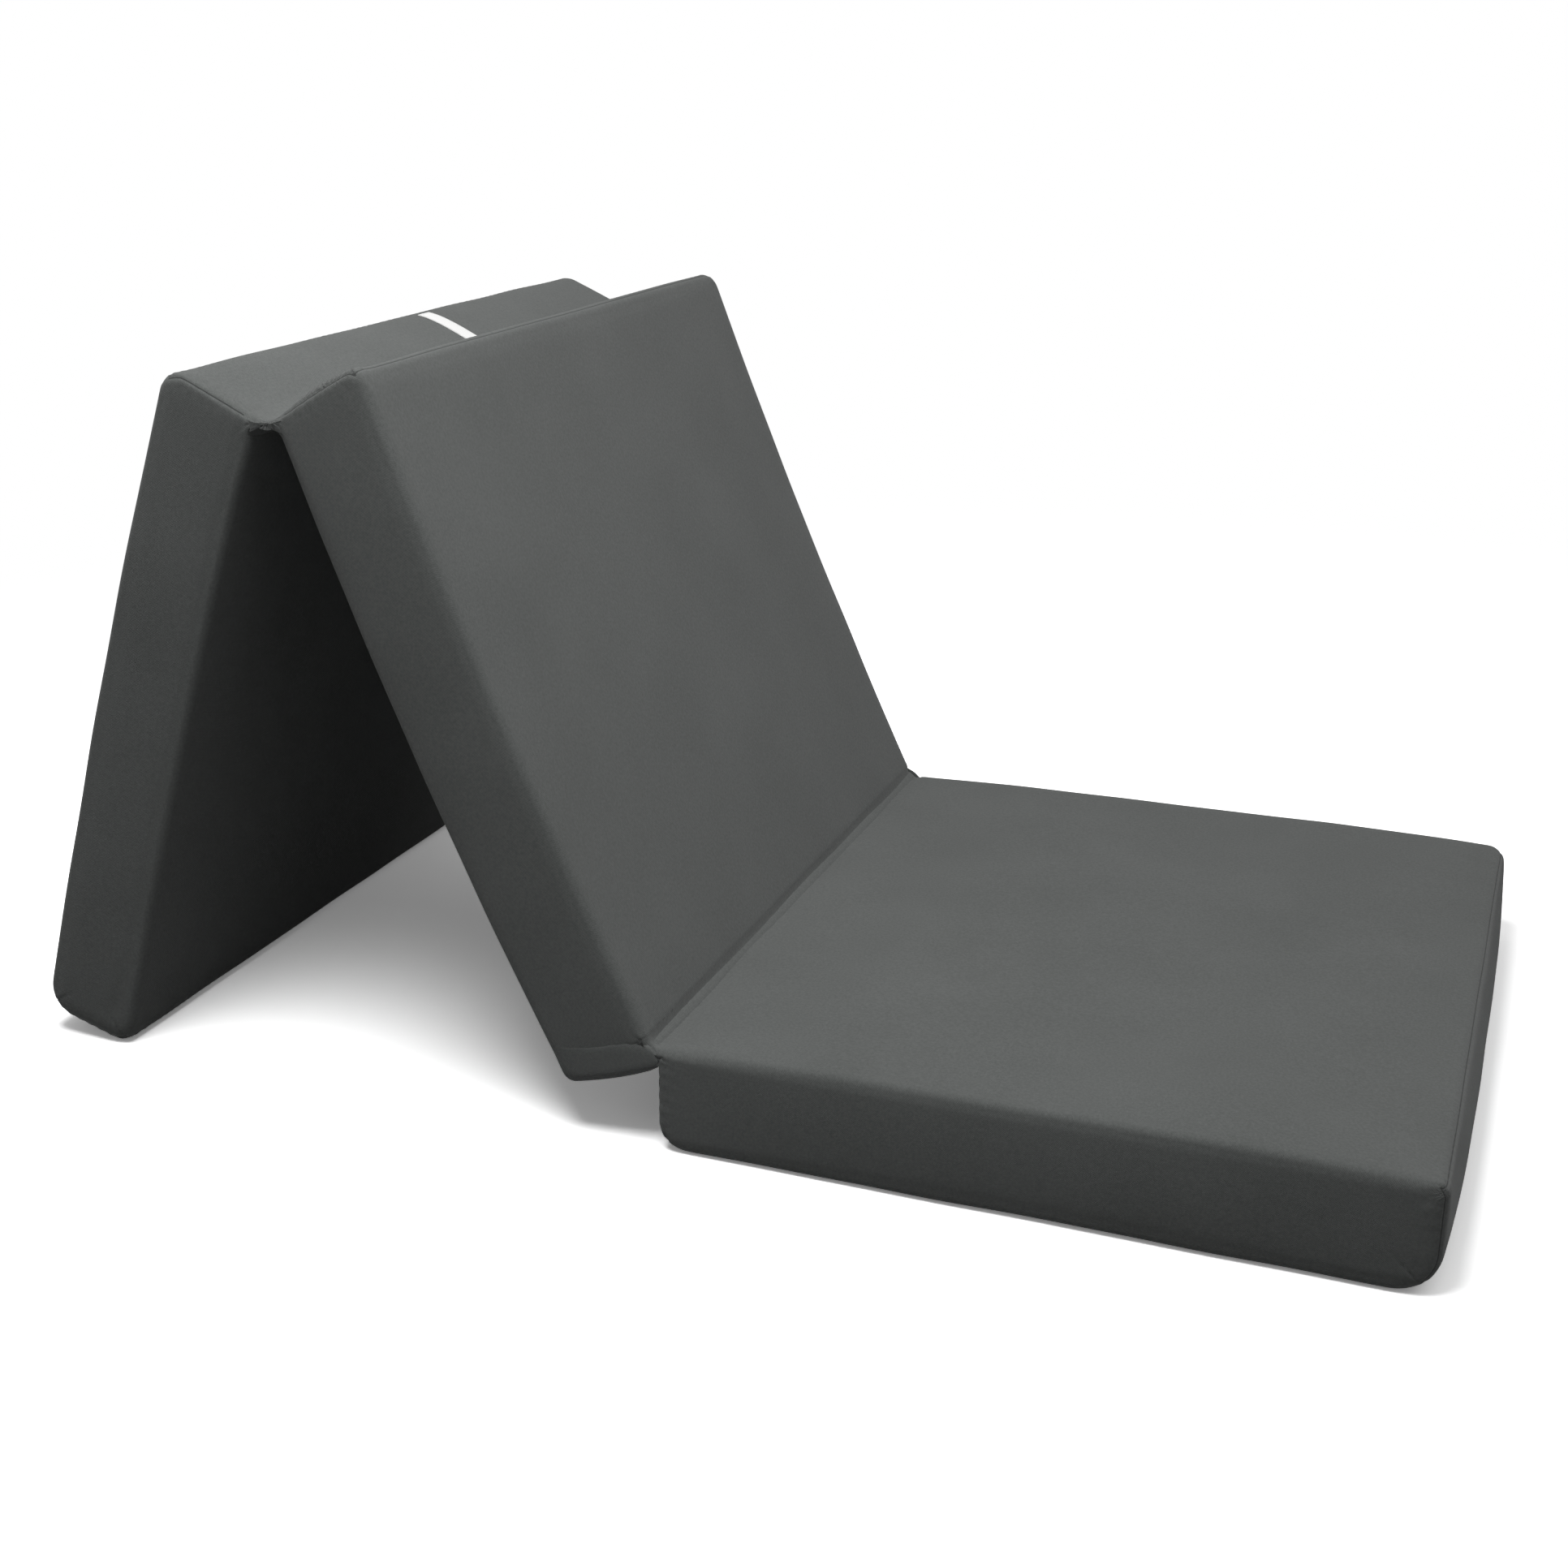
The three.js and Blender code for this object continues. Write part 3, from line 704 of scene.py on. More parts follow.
def pleat_nodes(tree, given):
    """Pleats that run to one point, where the cloth is pinched together: their heights, and painted shade along their
    creases and over the pinched point.
    """
    away = vector_node(tree, "SUBTRACT", "Vector", given["Place"], given["Centre"])
    far = vector_node(tree, "LENGTH", "Value", away)
    streaks = noise(tree, vector_node(tree, "NORMALIZE", "Vector", away), scale=5, detail=1)
    near = math_node(tree, "SUBTRACT", 1.0, math_node(tree, "DIVIDE", far, given["Reach"]), clamp=True)
    fade = math_node(tree, "MULTIPLY", near, near)
    sharp = math_node(tree, "MULTIPLY_ADD", streaks, 4.0, -2.0)
    height = math_node(tree, "MULTIPLY", sharp, fade)
    # Painted shade along the creases of the pleats.
    line = math_node(tree, "SUBTRACT", 0.35, math_node(tree, "ABSOLUTE", sharp), clamp=True)
    line = math_node(tree, "MULTIPLY", math_node(tree, "MULTIPLY", line, 2.4), fade)
    # Painted shade at the pinched point, darkest at its middle.
    core = math_node(tree, "SUBTRACT", 1.0, math_node(tree, "DIVIDE", far, given["Core"]), clamp=True)
    return height, math_node(tree, "MAXIMUM", line, core)


# Each node group's nodes, its inputs, which are vectors where they have no value, and its outputs.
GROUPS = {
    "Woven cloth": (
        weave_nodes, {"Layout": None, "Place": None, "Thread Pitch": 0.001, "Mottle Scale": 420.0}, ("Height", "Tone")
    ),
    "Stitched seam": (
        stitch_nodes, {"Offset": 0.1, "Run": 0.0, "Pitch": 0.0034, "Half Width": 0.0007}, ("Line", "Thread")
    ),
    "Gathered cloth": (
        gather_nodes, {"Run": 0.0, "Amount": 0.0, "Place": None, "Pitch": 0.0052}, ("Height", "Shade")
    ),
    "Pinched pleats": (
        pleat_nodes, {"Place": None, "Centre": None, "Reach": 0.02, "Core": 0.002}, ("Height", "Shade")
    ),
}


def node_group(name):
    """A node group of the table, made the first time that it is asked for."""
    group = bpy.data.node_groups.get(name)
    if group:
        return group
    group = bpy.data.node_groups.new(name, "ShaderNodeTree")
    fill, inputs, outputs = GROUPS[name]
    for key, value in inputs.items():
        kind = "NodeSocketVector" if value is None else "NodeSocketFloat"
        made = group.interface.new_socket(name=key, in_out="INPUT", socket_type=kind)
        if value is not None:
            made.default_value = value
    for key in outputs:
        group.interface.new_socket(name=key, in_out="OUTPUT", socket_type="NodeSocketFloat")
    start, end = node(group, "NodeGroupInput"), node(group, "NodeGroupOutput")
    feed(group, end, dict(zip(outputs, fill(group, start.outputs))))
    return group


def use_group(tree, name, inputs):
    return node(tree, "ShaderNodeGroup", inputs, node_tree=node_group(name)).outputs


def new_material(name):
    material = bpy.data.materials.new(name)
    material.use_nodes = True
    tree = material.node_tree
    return material, tree, tree.nodes["Principled BSDF"]


def cloth_material(name, light, dark, pinches):
    """Matte woven cloth with dark stitched seams and hems, gathers and pinched points, and painted shade in the gathers
    and pleats, mixed towards the thread colour.
    """
    material, tree, shader = new_material(name)
    layout = node(tree, "ShaderNodeUVMap", uv_map="Cloth").outputs["UV"]
    place = object_places(tree)
    weave = use_group(
        tree, "Woven cloth", {"Layout": layout, "Place": place, "Thread Pitch": 0.9 * MM, "Mottle Scale": 420.0}
    )
    shade = mix_colour(tree, map_range(tree, weave["Tone"], 0.25, 0.75), dark, light)
    offset, run, amount = (
        node(tree, "ShaderNodeAttribute", attribute_name=key).outputs["Fac"]
        for key in ("seam_offset", "seam_run", "gather")
    )
    stitch = use_group(tree, "Stitched seam", {"Offset": offset, "Run": run, "Half Width": 0.85 * MM})
    hem_offset, hem_run = hem_lines(tree)
    hem = use_group(
        tree, "Stitched seam", {"Offset": hem_offset, "Run": hem_run, "Half Width": 0.6 * MM, "Pitch": 3.2 * MM}
    )
    lines = math_node(tree, "MAXIMUM", stitch["Line"], hem["Thread"])
    gather = use_group(tree, "Gathered cloth", {"Run": run, "Amount": amount, "Place": place})
    # Painted shade of the gathers and the pinched pleats.
    shadow = math_node(tree, "MULTIPLY", gather["Shade"], 0.55)
    folds = math_node(tree, "MULTIPLY", gather["Height"], GATHER_RELIEF)
    for centre, reach, core in pinches:
        pleat = use_group(tree, "Pinched pleats", {"Place": place, "Centre": centre, "Reach": reach, "Core": core})
        shadow = math_node(tree, "MAXIMUM", shadow, pleat["Shade"])
        folds = math_node(tree, "ADD", folds, math_node(tree, "MULTIPLY", pleat["Height"], PLEAT_RELIEF))
    # Seams and hems are darkened by their thread; the gathers and pleats by painted shade in the same thread colour.
    dark_lines, painted_fold_shade = math_node(tree, "MULTIPLY", lines, 0.9), math_node(tree, "MULTIPLY", shadow, 0.85)
    shade = mix_colour(tree, math_node(tree, "MAXIMUM", dark_lines, painted_fold_shade), shade, colours().thread)
    threads = math_node(tree, "MULTIPLY", hem["Thread"], 2.0)
    height = math_node(tree, "ADD", math_node(tree, "ADD", weave["Height"], threads), folds)
    feed(tree, shader, {
        "Base Color": shade, "Roughness": 0.92, "Specular IOR Level": 0.12, "Sheen Weight": 0.12,
        "Sheen Roughness": 0.6, "Normal": bump(tree, height, 1.0, 0.12 * MM),
    })
    return material


WOVEN_CLOTH = "woven_charcoal_cloth"
GATHER_RELIEF = 4.0
PLEAT_RELIEF = 5.0
HEM_OFFSET = 3.5 * MM


def hem_lines(tree):
    """Distance from the stitched line round a zip, and the length along it, from the UV map that starts at the zip."""
    layout = node(tree, "ShaderNodeUVMap", uv_map="Hem").outputs["UV"]
    place = node(tree, "ShaderNodeSeparateXYZ", {0: layout}).outputs
    edges = []
    for value, reach in zip(place, (ZIP_LENGTH / 2 + HEM_OFFSET, ZIP_HALF_HEIGHT + HEM_OFFSET)):
        edges.append(math_node(tree, "SUBTRACT", math_node(tree, "ABSOLUTE", value), reach))
    offset = math_node(tree, "ABSOLUTE", math_node(tree, "MAXIMUM", *edges))
    return offset, math_node(tree, "ADD", *place[:2])


def shaded(tree, share, base, low, high):
    """A colour between two shades of a base colour."""
    return mix_colour(tree, share, *([level * c for c in base] for level in (low, high)))


def foam_material():
    """Open-cell foam, a little uneven in colour."""
    material, tree, shader = new_material("foam_cells")
    cells = node(tree, "ShaderNodeTexVoronoi", {"Vector": object_places(tree), "Scale": 900}).outputs["Distance"]
    shade = shaded(tree, cells, colours().foam, 0.7, 1)
    feed(tree, shader, {"Base Color": shade, "Roughness": 0.95, "Normal": bump(tree, cells, 0.6, 0.4 * MM)})
    return material


def metal_material():
    """Dark painted zip metal, worn brighter in fine scratches."""
    material, tree, shader = new_material("zip_metal")
    wear = noise(tree, object_places(tree), scale=700, detail=4)
    shade = shaded(tree, wear, colours().zip_metal, 1, 2.6)
    rough = math_node(tree, "MULTIPLY_ADD", wear, 0.3, 0.2)
    normal = bump(tree, wear, 0.2, 0.1 * MM)
    feed(tree, shader, {"Base Color": shade, "Roughness": rough, "Metallic": 0.85, "Normal": normal})
    return material


def zip_cloth_material():
    """Ribbed zip tape and nylon teeth on a CAD node, which has no UV map of its own."""
    material, tree, shader = new_material("zip_tape")
    place = object_places(tree)
    rib = node(
        tree, "ShaderNodeTexWave", {"Vector": place, "Scale": 260, "Distortion": 0.6},
        wave_type="BANDS", bands_direction="DIAGONAL",
    )
    tone = math_node(tree, "MULTIPLY", rib.outputs["Fac"], noise(tree, place, scale=1500))
    shade = shaded(tree, tone, colours().zip_tape, 0.7, 1.8)
    feed(tree, shader, {"Base Color": shade, "Roughness": 0.7, "Normal": bump(tree, tone, 0.7, 0.15 * MM)})
    return material


# ---- the covers and their foam

EDGE_CUTS = [0.0035, 0.007, 0.011, 0.016, 0.022, 0.028, 0.0335]
END_CUTS = [0.003, 0.006, 0.009, 0.0125, 0.017, 0.022, 0.028, 0.035, 0.042]
SIDE_CUTS = [0.002, 0.004, 0.0065, 0.009, 0.0115, 0.0145, 0.018, 0.022, 0.028]
CLOTH_STEP = 0.0095


def rise_cuts():
    """Cuts through a panel, two of them at the edges of the zip's slot."""
    height = sizes().height
    slot = np.linspace(height / 2 - ZIP_HALF_HEIGHT, height / 2 + ZIP_HALF_HEIGHT, 4)
    return [*EDGE_CUTS, *slot, *from_other_end(EDGE_CUTS, height)]


def panel_block(name, label, inset, length_places, width_places, rise_places):
    """A bisected block for a panel, before it is shaped."""
    half = block_half_width(inset)
    total = panel_length(name)
    low = (inset, -half, inset)
    high = (total - inset, half, sizes().height - inset)
    return cut_block(label, low, high, (length_places, width_places, rise_places))


def length_cuts(name):
    """Cuts along a panel, two of them at the ends of the zip's slot."""
    total = panel_length(name)
    start = (total - ZIP_LENGTH) / 2
    between = np.linspace(start, total - start, round(ZIP_LENGTH / CLOTH_STEP) + 1)
    lead = stations(start, END_CUTS, [CLOTH_STEP], CLOTH_STEP)
    return [*lead, *between, *from_other_end(lead, total)]


def sink_zip_slot(obj, name):
    """Sinks the far side face's cloth under the zip, as an extruded slot with upright walls."""
    half, middle, height = sizes().width / 2, panel_length(name) / 2, zip_height(name)

    def under_zip(face):
        x, y, z = face.center
        beside = abs(x - middle) < ZIP_LENGTH / 2 and abs(z - height) < ZIP_HALF_HEIGHT
        return beside and y > half - 1 * MM and face.normal.y > 0.9

    edit_faces(obj, under_zip)
    bpy.ops.mesh.extrude_region_move(TRANSFORM_OT_translate={"value": (0, -SLOT_DEPTH, 0)})
    bpy.ops.object.mode_set(mode="OBJECT")


SLOT_DEPTH = 2.2 * MM


def make_cover(name, material):
    half = block_half_width()
    width_cuts = [place - half for place in stations(2 * half, SIDE_CUTS, SIDE_CUTS, CLOTH_STEP)]
    cover = panel_block(name, f"{name}_cloth_cover", 0.0, length_cuts(name), width_cuts, rise_cuts())
    points = straighten_zip(shape_panel(get_points(cover), name), name)
    set_points(cover, points)
    distance, _ = seam_distances(points, name)
    pins = np.maximum(1 - smooth_step(np.abs(distance), 1 * MM, 6 * MM), far_side_share(points))
    inflate(cover, pins, sizes().cap)
    set_points(cover, side_swell(get_points(cover), name))
    apply_modifier(cover, "SUBSURF", levels=1, render_levels=1)
    points = get_points(cover)
    distance, run = seam_distances(points, name)
    seed = 11 + 10 * PANEL_NAMES.index(name)
    quiet = 1 - far_side_share(points)
    waves = quiet * CLOTH_WAVE_HEIGHT * ripple(points, CLOTH_WAVE_PITCH, seed + 2)
    relief = seam_relief(distance, run, points, seed) + waves
    set_points(cover, points + read_all(cover.data.vertices, "normal", 3) * relief[:, None])
    sink_zip_slot(cover, name)
    distance, run = seam_distances(get_points(cover), name)
    store(cover, "seam_offset", distance)
    store(cover, "seam_run", run)
    store(cover, "gather", gathers(get_points(cover), name))
    lay_out_cloth(cover)
    lay_out_hem(cover, name)
    set_points(cover, make_room(get_points(cover), name))
    cover.data.transform(panel_matrix(name))
    points = get_points(cover)
    points[:, 2] = np.maximum(points[:, 2], 0)
    set_points(cover, points)
    dress(cover, material)
    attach(cover, f"{name}_panel")
    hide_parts(f"{name}_cover")
    return cover


CLOTH_WAVE_HEIGHT = 0.35 * MM
CLOTH_WAVE_PITCH = 140 * MM


def gathers(points, name):
    """Where a cover's cloth is gathered: on the end faces at the upper fold, beside the near side seam. The amount sets
    the gathers' heights and their painted shade.
    """
    if name == "foot":
        return np.zeros(len(points))
    s = sizes()
    x, y, z = points.T
    from_fold = x if name == "middle" else panel_length(name) - x
    beside = s.width / 2 + y
    at_end = 1 - smooth_step(from_fold, 3 * MM, 9 * MM)
    rise = np.clip(z / s.height, 0, 1)
    amount = at_end * (1 - smooth_step(beside, 10 * MM, 26 * MM)) * (1 - rise**3)
    return amount if name == "middle" else 0.25 * amount * (1 - rise) ** 2


def far_side_share(points):
    """1 on the far side face, which stays flat for its zip, and 0 away from it."""
    return smooth_step(points[:, 1], sizes().width / 2 - 6 * MM, sizes().width / 2 - 1 * MM)


def make_foam(name, material):
    inset = sizes().foam_inset
    half = block_half_width(inset)
    total = panel_length(name)
    cuts = (
        [inset + place for place in stations(total - 2 * inset, END_CUTS[1::3], END_CUTS[1::3], 5 * CLOTH_STEP)],
        [place - half for place in stations(2 * half, SIDE_CUTS[1::3], SIDE_CUTS[1::3], 5 * CLOTH_STEP)],
        rise_cuts()[1:-1:4],
    )
    foam = panel_block(name, f"{name}_foam", inset, *cuts)
    set_points(foam, shape_panel(get_points(foam), name, inset))
    apply_modifier(foam, "SUBSURF", levels=1, render_levels=1)
    set_points(foam, make_room(get_points(foam), name))
    foam.data.transform(panel_matrix(name))
    dress(foam, material)
    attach(foam, f"{name}_panel")
    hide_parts(f"{name}_foam_core")
    return foam


# ---- the folds


def sweep_across(label, count, cuts):
    """A closed outline of count corners, drawn out across the mattress in strips between the cuts."""
    deselect_all()
    bpy.ops.mesh.primitive_circle_add(vertices=count, radius=1, fill_type="NGON")
    piece = bpy.context.object
    piece.name = piece.data.name = label
    for number, point in enumerate(piece.data.vertices):
        point.co = (number, cuts[0], 0)
    bpy.ops.object.mode_set(mode="EDIT")
    for before, after in zip(cuts, cuts[1:]):
        bpy.ops.mesh.extrude_region_move(TRANSFORM_OT_translate={"value": (0, after - before, 0)})
    bpy.ops.object.mode_set(mode="OBJECT")
    return piece


def cover_tree(name):
    """The faces of a panel's cover, for rays."""
    cover = bpy.data.objects[f"{name}_cloth_cover"].data
    return bvhtree.BVHTree.FromPolygons([v.co for v in cover.vertices], [tuple(f.vertices) for f in cover.polygons])


def soft_curve(a, away_a, b, away_b, count, tight):
    """Points between a and b on a curve that leaves both along their own directions. The tighter, the sharper."""
    pull = tight * (b - a).length / max(0.6, (away_a - away_b).length)
    points = []
    for step in range(1, count + 1):
        t = step / (count + 1)
        r = 1 - t
        handle = 3 * r * r * t * (a + away_a * pull) + 3 * r * t * t * (b + away_b * pull)
        points.append(a * r**3 + handle + b * t**3)
    return points


class FoldPlaces:
    """Places on the covers at one fold. A side is a panel's direction away from the fold and the normal of the face
    that the fold lies on."""

    def __init__(self, joint_name, names, sides):
        self.point = Vector(JOINTS[joint_name]["pos_m"])
        self.sides = sides
        self.trees = [cover_tree(name) for name in names]

    def at(self, side, along, depth, y):
        """A place by its distance along a panel and its depth under the panel's face, without the cover's swell."""
        way, normal = self.sides[side]
        return Vector((self.point.x, y, self.point.z)) + way * along - normal * (sizes().fold_lift + depth)

    def on_face(self, side, along, y, off):
        normal = self.sides[side][1]
        hit = self.trees[side].ray_cast(self.at(side, along, -RAY_START, y), -normal, 3 * RAY_START)[0]
        return (hit or self.at(side, along, 5 * MM, y)) + normal * off

    def on_end(self, side, depth, y, off):
        way = self.sides[side][0]
        hit = self.trees[side].ray_cast(self.at(side, -RAY_START, depth, y), way, 3 * RAY_START)[0]
        return (hit or self.at(side, sizes().fold_gap / 2, depth, y)) - way * off


def both_rows(take, rows, y):
    """For each side of a fold, points on its face and the direction in which the last two of them run."""
    for side in (0, 1):
        points = [take(side, along, y, off) for along, off in rows]
        yield points, (points[-1] - points[-2]).normalized()


# Rows of points on a cover: how far each is from the panel's end or under its face, and how far off the cloth.
LOWER_ROWS = [(17 * MM, -0.8 * MM), (13.5 * MM, -0.3 * MM), (10.5 * MM, 0.05 * MM), (8 * MM, 0.15 * MM)]
UPPER_ROWS = [(16 * MM, -0.9 * MM), (11 * MM, -0.1 * MM), (6.5 * MM, 0.25 * MM)]
UNDER_ROWS = [(36 * MM, -0.6 * MM), (29 * MM, 0.6 * MM), (22 * MM, 2.8 * MM)]
SQUEEZE_ROWS = [(22 * MM, 0.7 * MM), (17 * MM, 0.2 * MM), (12 * MM, -0.1 * MM)]
# The back of the lower fold's cloth: the side, and how far in and how deep each of its points lies, in millimetres.
LOWER_BACK = [(1, 5, 5), (1, 5, 9), (1, 1, 13), (0, 0, 13), (0, 5, 9), (0, 5, 5)]


def lower_section(places, y):
    """The cloth in the crease between the foot and the middle panel, and down between their ends."""
    (first, away_first), (second, away_second) = both_rows(places.on_face, LOWER_ROWS, y)
    gap = sizes().fold_gap / 2
    lift = float(draw_in(sizes().side_seam_radius, max(sizes().width / 2 - abs(y), 0)))
    tight = 0.95 - 0.3 * (1 - float(smooth_step(sizes().width / 2 + y, 4 * MM, 22 * MM)))
    back = [places.at(side, gap + along * MM, lift + depth * MM, y) for side, along, depth in LOWER_BACK]
    return first + soft_curve(first[-1], away_first, second[-1], away_second, 7, tight) + second[::-1] + back


def upper_section(places, y):
    """The cloth between the inner corners of the middle and the head panel, seen from above and from below."""
    up = -(places.sides[0][1] + places.sides[1][1]).normalized()
    (first, away_first), (second, away_second) = both_rows(places.on_end, UPPER_ROWS, y)
    top = first + soft_curve(first[-1], away_first, second[-1], away_second, 5, 0.85) + second[::-1]
    (first, _), (second, _) = both_rows(places.on_face, UNDER_ROWS, y)
    a, b = first[-1], second[-1]
    middle = (a + b) / 2 + up * 3 * MM
    between = [a * (1 - t) ** 2 + middle * 2 * t * (1 - t) + b * t * t for t in (0.15, 0.3, 0.5, 0.7, 0.85)]
    return first + between + second[::-1] + top[::-1]


RAY_START = 30 * MM
FOLD_END_CUTS = [0.5 * MM, 1.2 * MM, 2.2 * MM, 3.6 * MM, 5.2 * MM, 7.5 * MM, 11 * MM]


def loft_across(label, section, end_gap=0.4 * MM, end_place=None):
    """A closed piece across the mattress with a section at each station, softened once.

    Its ends are flat with two inset rings, or domed to end_place, which gives the end's own surface.
    """
    half = sizes().width / 2 - end_gap
    cuts = [place - half for place in [0, *stations(2 * half, FOLD_END_CUTS, FOLD_END_CUTS, 6 * MM), 2 * half]]
    sections = [section(y) for y in cuts]
    if end_place:
        near, far = (end_rings(sections[i], end_place) for i in (0, -1))
        sections = near[::-1] + sections + far
        beyond = [half + (i + 1) * MM for i in range(len(far))]
        cuts = [-place for place in beyond[::-1]] + cuts + beyond
    piece = sweep_across(label, len(sections[0]), cuts)
    points = get_points(piece)
    corner = np.rint(points[:, 0]).astype(int)
    station = np.abs(points[:, 1:2] - np.array(cuts)[None, :]).argmin(axis=1)
    table = np.array([[list(p) for p in around] for around in sections])
    set_points(piece, table[station, corner])
    if signed_volume(piece) < 0:
        edit_faces(piece, lambda face: True)
        bpy.ops.mesh.flip_normals()
        bpy.ops.object.mode_set(mode="OBJECT")
    if not end_place:
        edit_faces(piece, lambda face: len(face.vertices) > 4)
        for _ in range(2):
            bpy.ops.mesh.inset(thickness=0.7 * MM, use_even_offset=False)
        bpy.ops.object.mode_set(mode="OBJECT")
    apply_modifier(piece, "SUBSURF", levels=1, render_levels=1)
    return piece


def end_rings(rim, end_place):
    """Rings that close a section towards its middle while they rise to the end's own surface."""
    middle = sum(rim, Vector()) / len(rim)
    rings = []
    for share, rise in END_RINGS:
        ring = [middle.lerp(p, share) for p in rim]
        for q, p in zip(ring, rim):
            q.y = p.y + (end_place(q) - p.y) * rise
        rings.append(ring)
    return rings


END_RINGS = ((0.94, 0.45), (0.85, 0.8), (0.7, 1.0), (0.45, 1.0), (0.2, 1.0))


def signed_volume(obj):
    """The volume inside a closed piece, less than 0 where its faces point inwards."""
    points = get_points(obj)
    obj.data.calc_loop_triangles()
    a, b, c = (points[[t.vertices[i] for t in obj.data.loop_triangles]] for i in range(3))
    return float(np.einsum("ij,ij->", a, np.cross(b, c))) / 6


def finish_fold_piece(piece, cad_node, material):
    """A fold piece gets the covers' cloth, with no seams or gathers of its own."""
    points = get_points(piece)
    store(piece, "seam_offset", np.full(len(points), FAR_OFF))
    store(piece, "seam_run", points[:, 1])
    store(piece, "gather", np.zeros(len(points)))
    lay_out_cloth(piece)
    lay_out_hem(piece, None)
    dress(piece, material)
    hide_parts(cad_node)


def make_fold(label, joint_name, cad_node, names, sides, section, material):
    """The cloth that joins two panels along a fold."""
    places = FoldPlaces(joint_name, names, sides)
    piece = loft_across(label, lambda y: section(places, y))
    finish_fold_piece(piece, cad_node, material)
    start, finish = (tuple(places.point + way * 6 * MM) for way, _ in sides)
    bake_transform(piece)
    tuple(start)
    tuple(finish)
    return piece


def make_squeezed_end(material):
    """The middle panel's foam and cloth where they are squeezed out between its lower end and the foot panel's end."""
    s = sizes()
    matrix = panel_matrix("middle")
    inverse = matrix.inverted()
    turn = matrix.to_3x3()
    tree = cover_tree("middle")
    end = s.middle_length
    foot_end = -s.foot_length / 2 + SQUEEZE_BITE

    def back_face(x, y):
        hit = tree.ray_cast(matrix @ Vector((x, y, -2 * RAY_START)), turn @ Vector((0, 0, 1)), 4 * RAY_START)[0]
        return (inverse @ hit).z if hit else 5 * MM

    def section(y):
        drawn = float(draw_in(s.side_seam_radius, max(s.width / 2 - abs(y), 0)))
        outline = [Vector((end - x, y, back_face(end - x, y) + off)) for x, off in SQUEEZE_ROWS]
        slope = (outline[-1].z - outline[-2].z) / (outline[-1].x - outline[-2].x)
        low = end + SQUEEZE_DEPTH - drawn
        radius = SQUEEZE_CORNER
        start = outline[-1].z + slope * (low - radius - outline[-1].x)
        outline.append(Vector(((outline[-1].x + low - radius) / 2, y, (outline[-1].z + start) / 2)))
        for angle in (math.pi / 8 * step for step in range(5)):
            x, z = low - radius + radius * math.sin(angle), start + radius * (1 - math.cos(angle))
            outline.append(Vector((x, y, z)))
        front = inverse @ Vector((foot_end, y, s.foot_lift + s.height - SQUEEZE_NOTCH + drawn))
        corner = outline[-1]
        for share in (0.25, 0.5, 0.75):
            outline.append(corner.lerp(front, share) + Vector((2.5 * MM * math.sin(share * math.pi), 0, 0)))
        top = inverse @ Vector((foot_end, y, s.foot_lift + s.height - 2 * MM - drawn))
        outline += [front, front.lerp(top, 0.5), top]
        outline += [Vector((end - 8 * MM, y, z)) for z in (s.height - 6 * MM - drawn, s.height / 2)]
        outline += [Vector((end - 16 * MM, y, 22 * MM)), Vector((end - 19 * MM, y, 10 * MM))]
        return [matrix @ point for point in outline]

    def long_side(point):
        """How far out the cover's long side lies, carried on past the panel's end."""
        place = inverse @ point
        out = math.copysign(1, place.y)
        rise = min(max(place.z, 12 * MM), s.height - 12 * MM)
        start = matrix @ Vector((min(place.x, end - 15 * MM), out * s.width, rise))
        hit = tree.ray_cast(start, Vector((0, -out, 0)), s.width)[0]
        return (hit.y if hit else out * s.width / 2) + out * SQUEEZE_OVER

    piece = loft_across("middle_squeezed_end", section, end_place=long_side)
    finish_fold_piece(piece, "foot_middle_fold_strip", material)
    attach(piece, "middle_panel")
    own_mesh(piece)
    return piece


SQUEEZE_DEPTH = 20 * MM
SQUEEZE_NOTCH = 19 * MM
SQUEEZE_CORNER = 11 * MM
SQUEEZE_BITE = 0.8 * MM
SQUEEZE_OVER = 0.15 * MM
FAR_OFF = 0.5


def panel_directions(name, end, face):
    """A panel's direction away from a fold at its left or right end, and the normal of its top or bottom face."""
    turn = panel_matrix(name).to_3x3()
    return turn @ Vector((1 if end == "left" else -1, 0, 0)), turn @ Vector((0, 0, 1 if face == "top" else -1))


# ---- the end tab


def make_tab(material):
    """The white tape tab, laid on the head panel's end face from the rounding of its outer edge, with the end away from
    that edge curled up a little.
    """
    s = sizes()
    tree = cover_tree("head")
    matrix = panel_matrix("head")
    turn = matrix.to_3x3()
    deselect_all()
    bpy.ops.mesh.primitive_grid_add(x_subdivisions=TAB_LENGTH_STEPS, y_subdivisions=TAB_WIDTH_STEPS, size=1)
    tab = bpy.context.object
    tab.name = tab.data.name = "white_end_tab"
    flat = get_points(tab)[:, :2] + 0.5
    places = []
    for along, across in flat:
        rise = TAB_START - along * s.tab_length
        y = s.tab_offset + (across - 0.5) * s.tab_width
        start = matrix @ Vector((s.head_length + RAY_START, y, rise))
        hit, normal, _, _ = tree.ray_cast(start, turn @ Vector((-1, 0, 0)), 3 * RAY_START)
        lift = 0.35 * MM + TAB_CURL * max(0.0, (along - 0.8) / 0.2) ** 2
        places.append(hit + normal * lift)
    set_points(tab, np.array([list(p) for p in places]))
    lay_out(tab, "Tab", flat[corner_points(tab.data)] * np.array([s.tab_length, s.tab_width]))
    apply_modifier(tab, "SOLIDIFY", thickness=TAB_THICKNESS, offset=1)
    dress(tab, material)
    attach(tab, "head_panel")
    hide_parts("head_end_tab")
    return tab


TAB_LENGTH_STEPS = 40
TAB_WIDTH_STEPS = 14
TAB_START = 75 * MM
TAB_CURL = 2.2 * MM
TAB_THICKNESS = 0.7 * MM


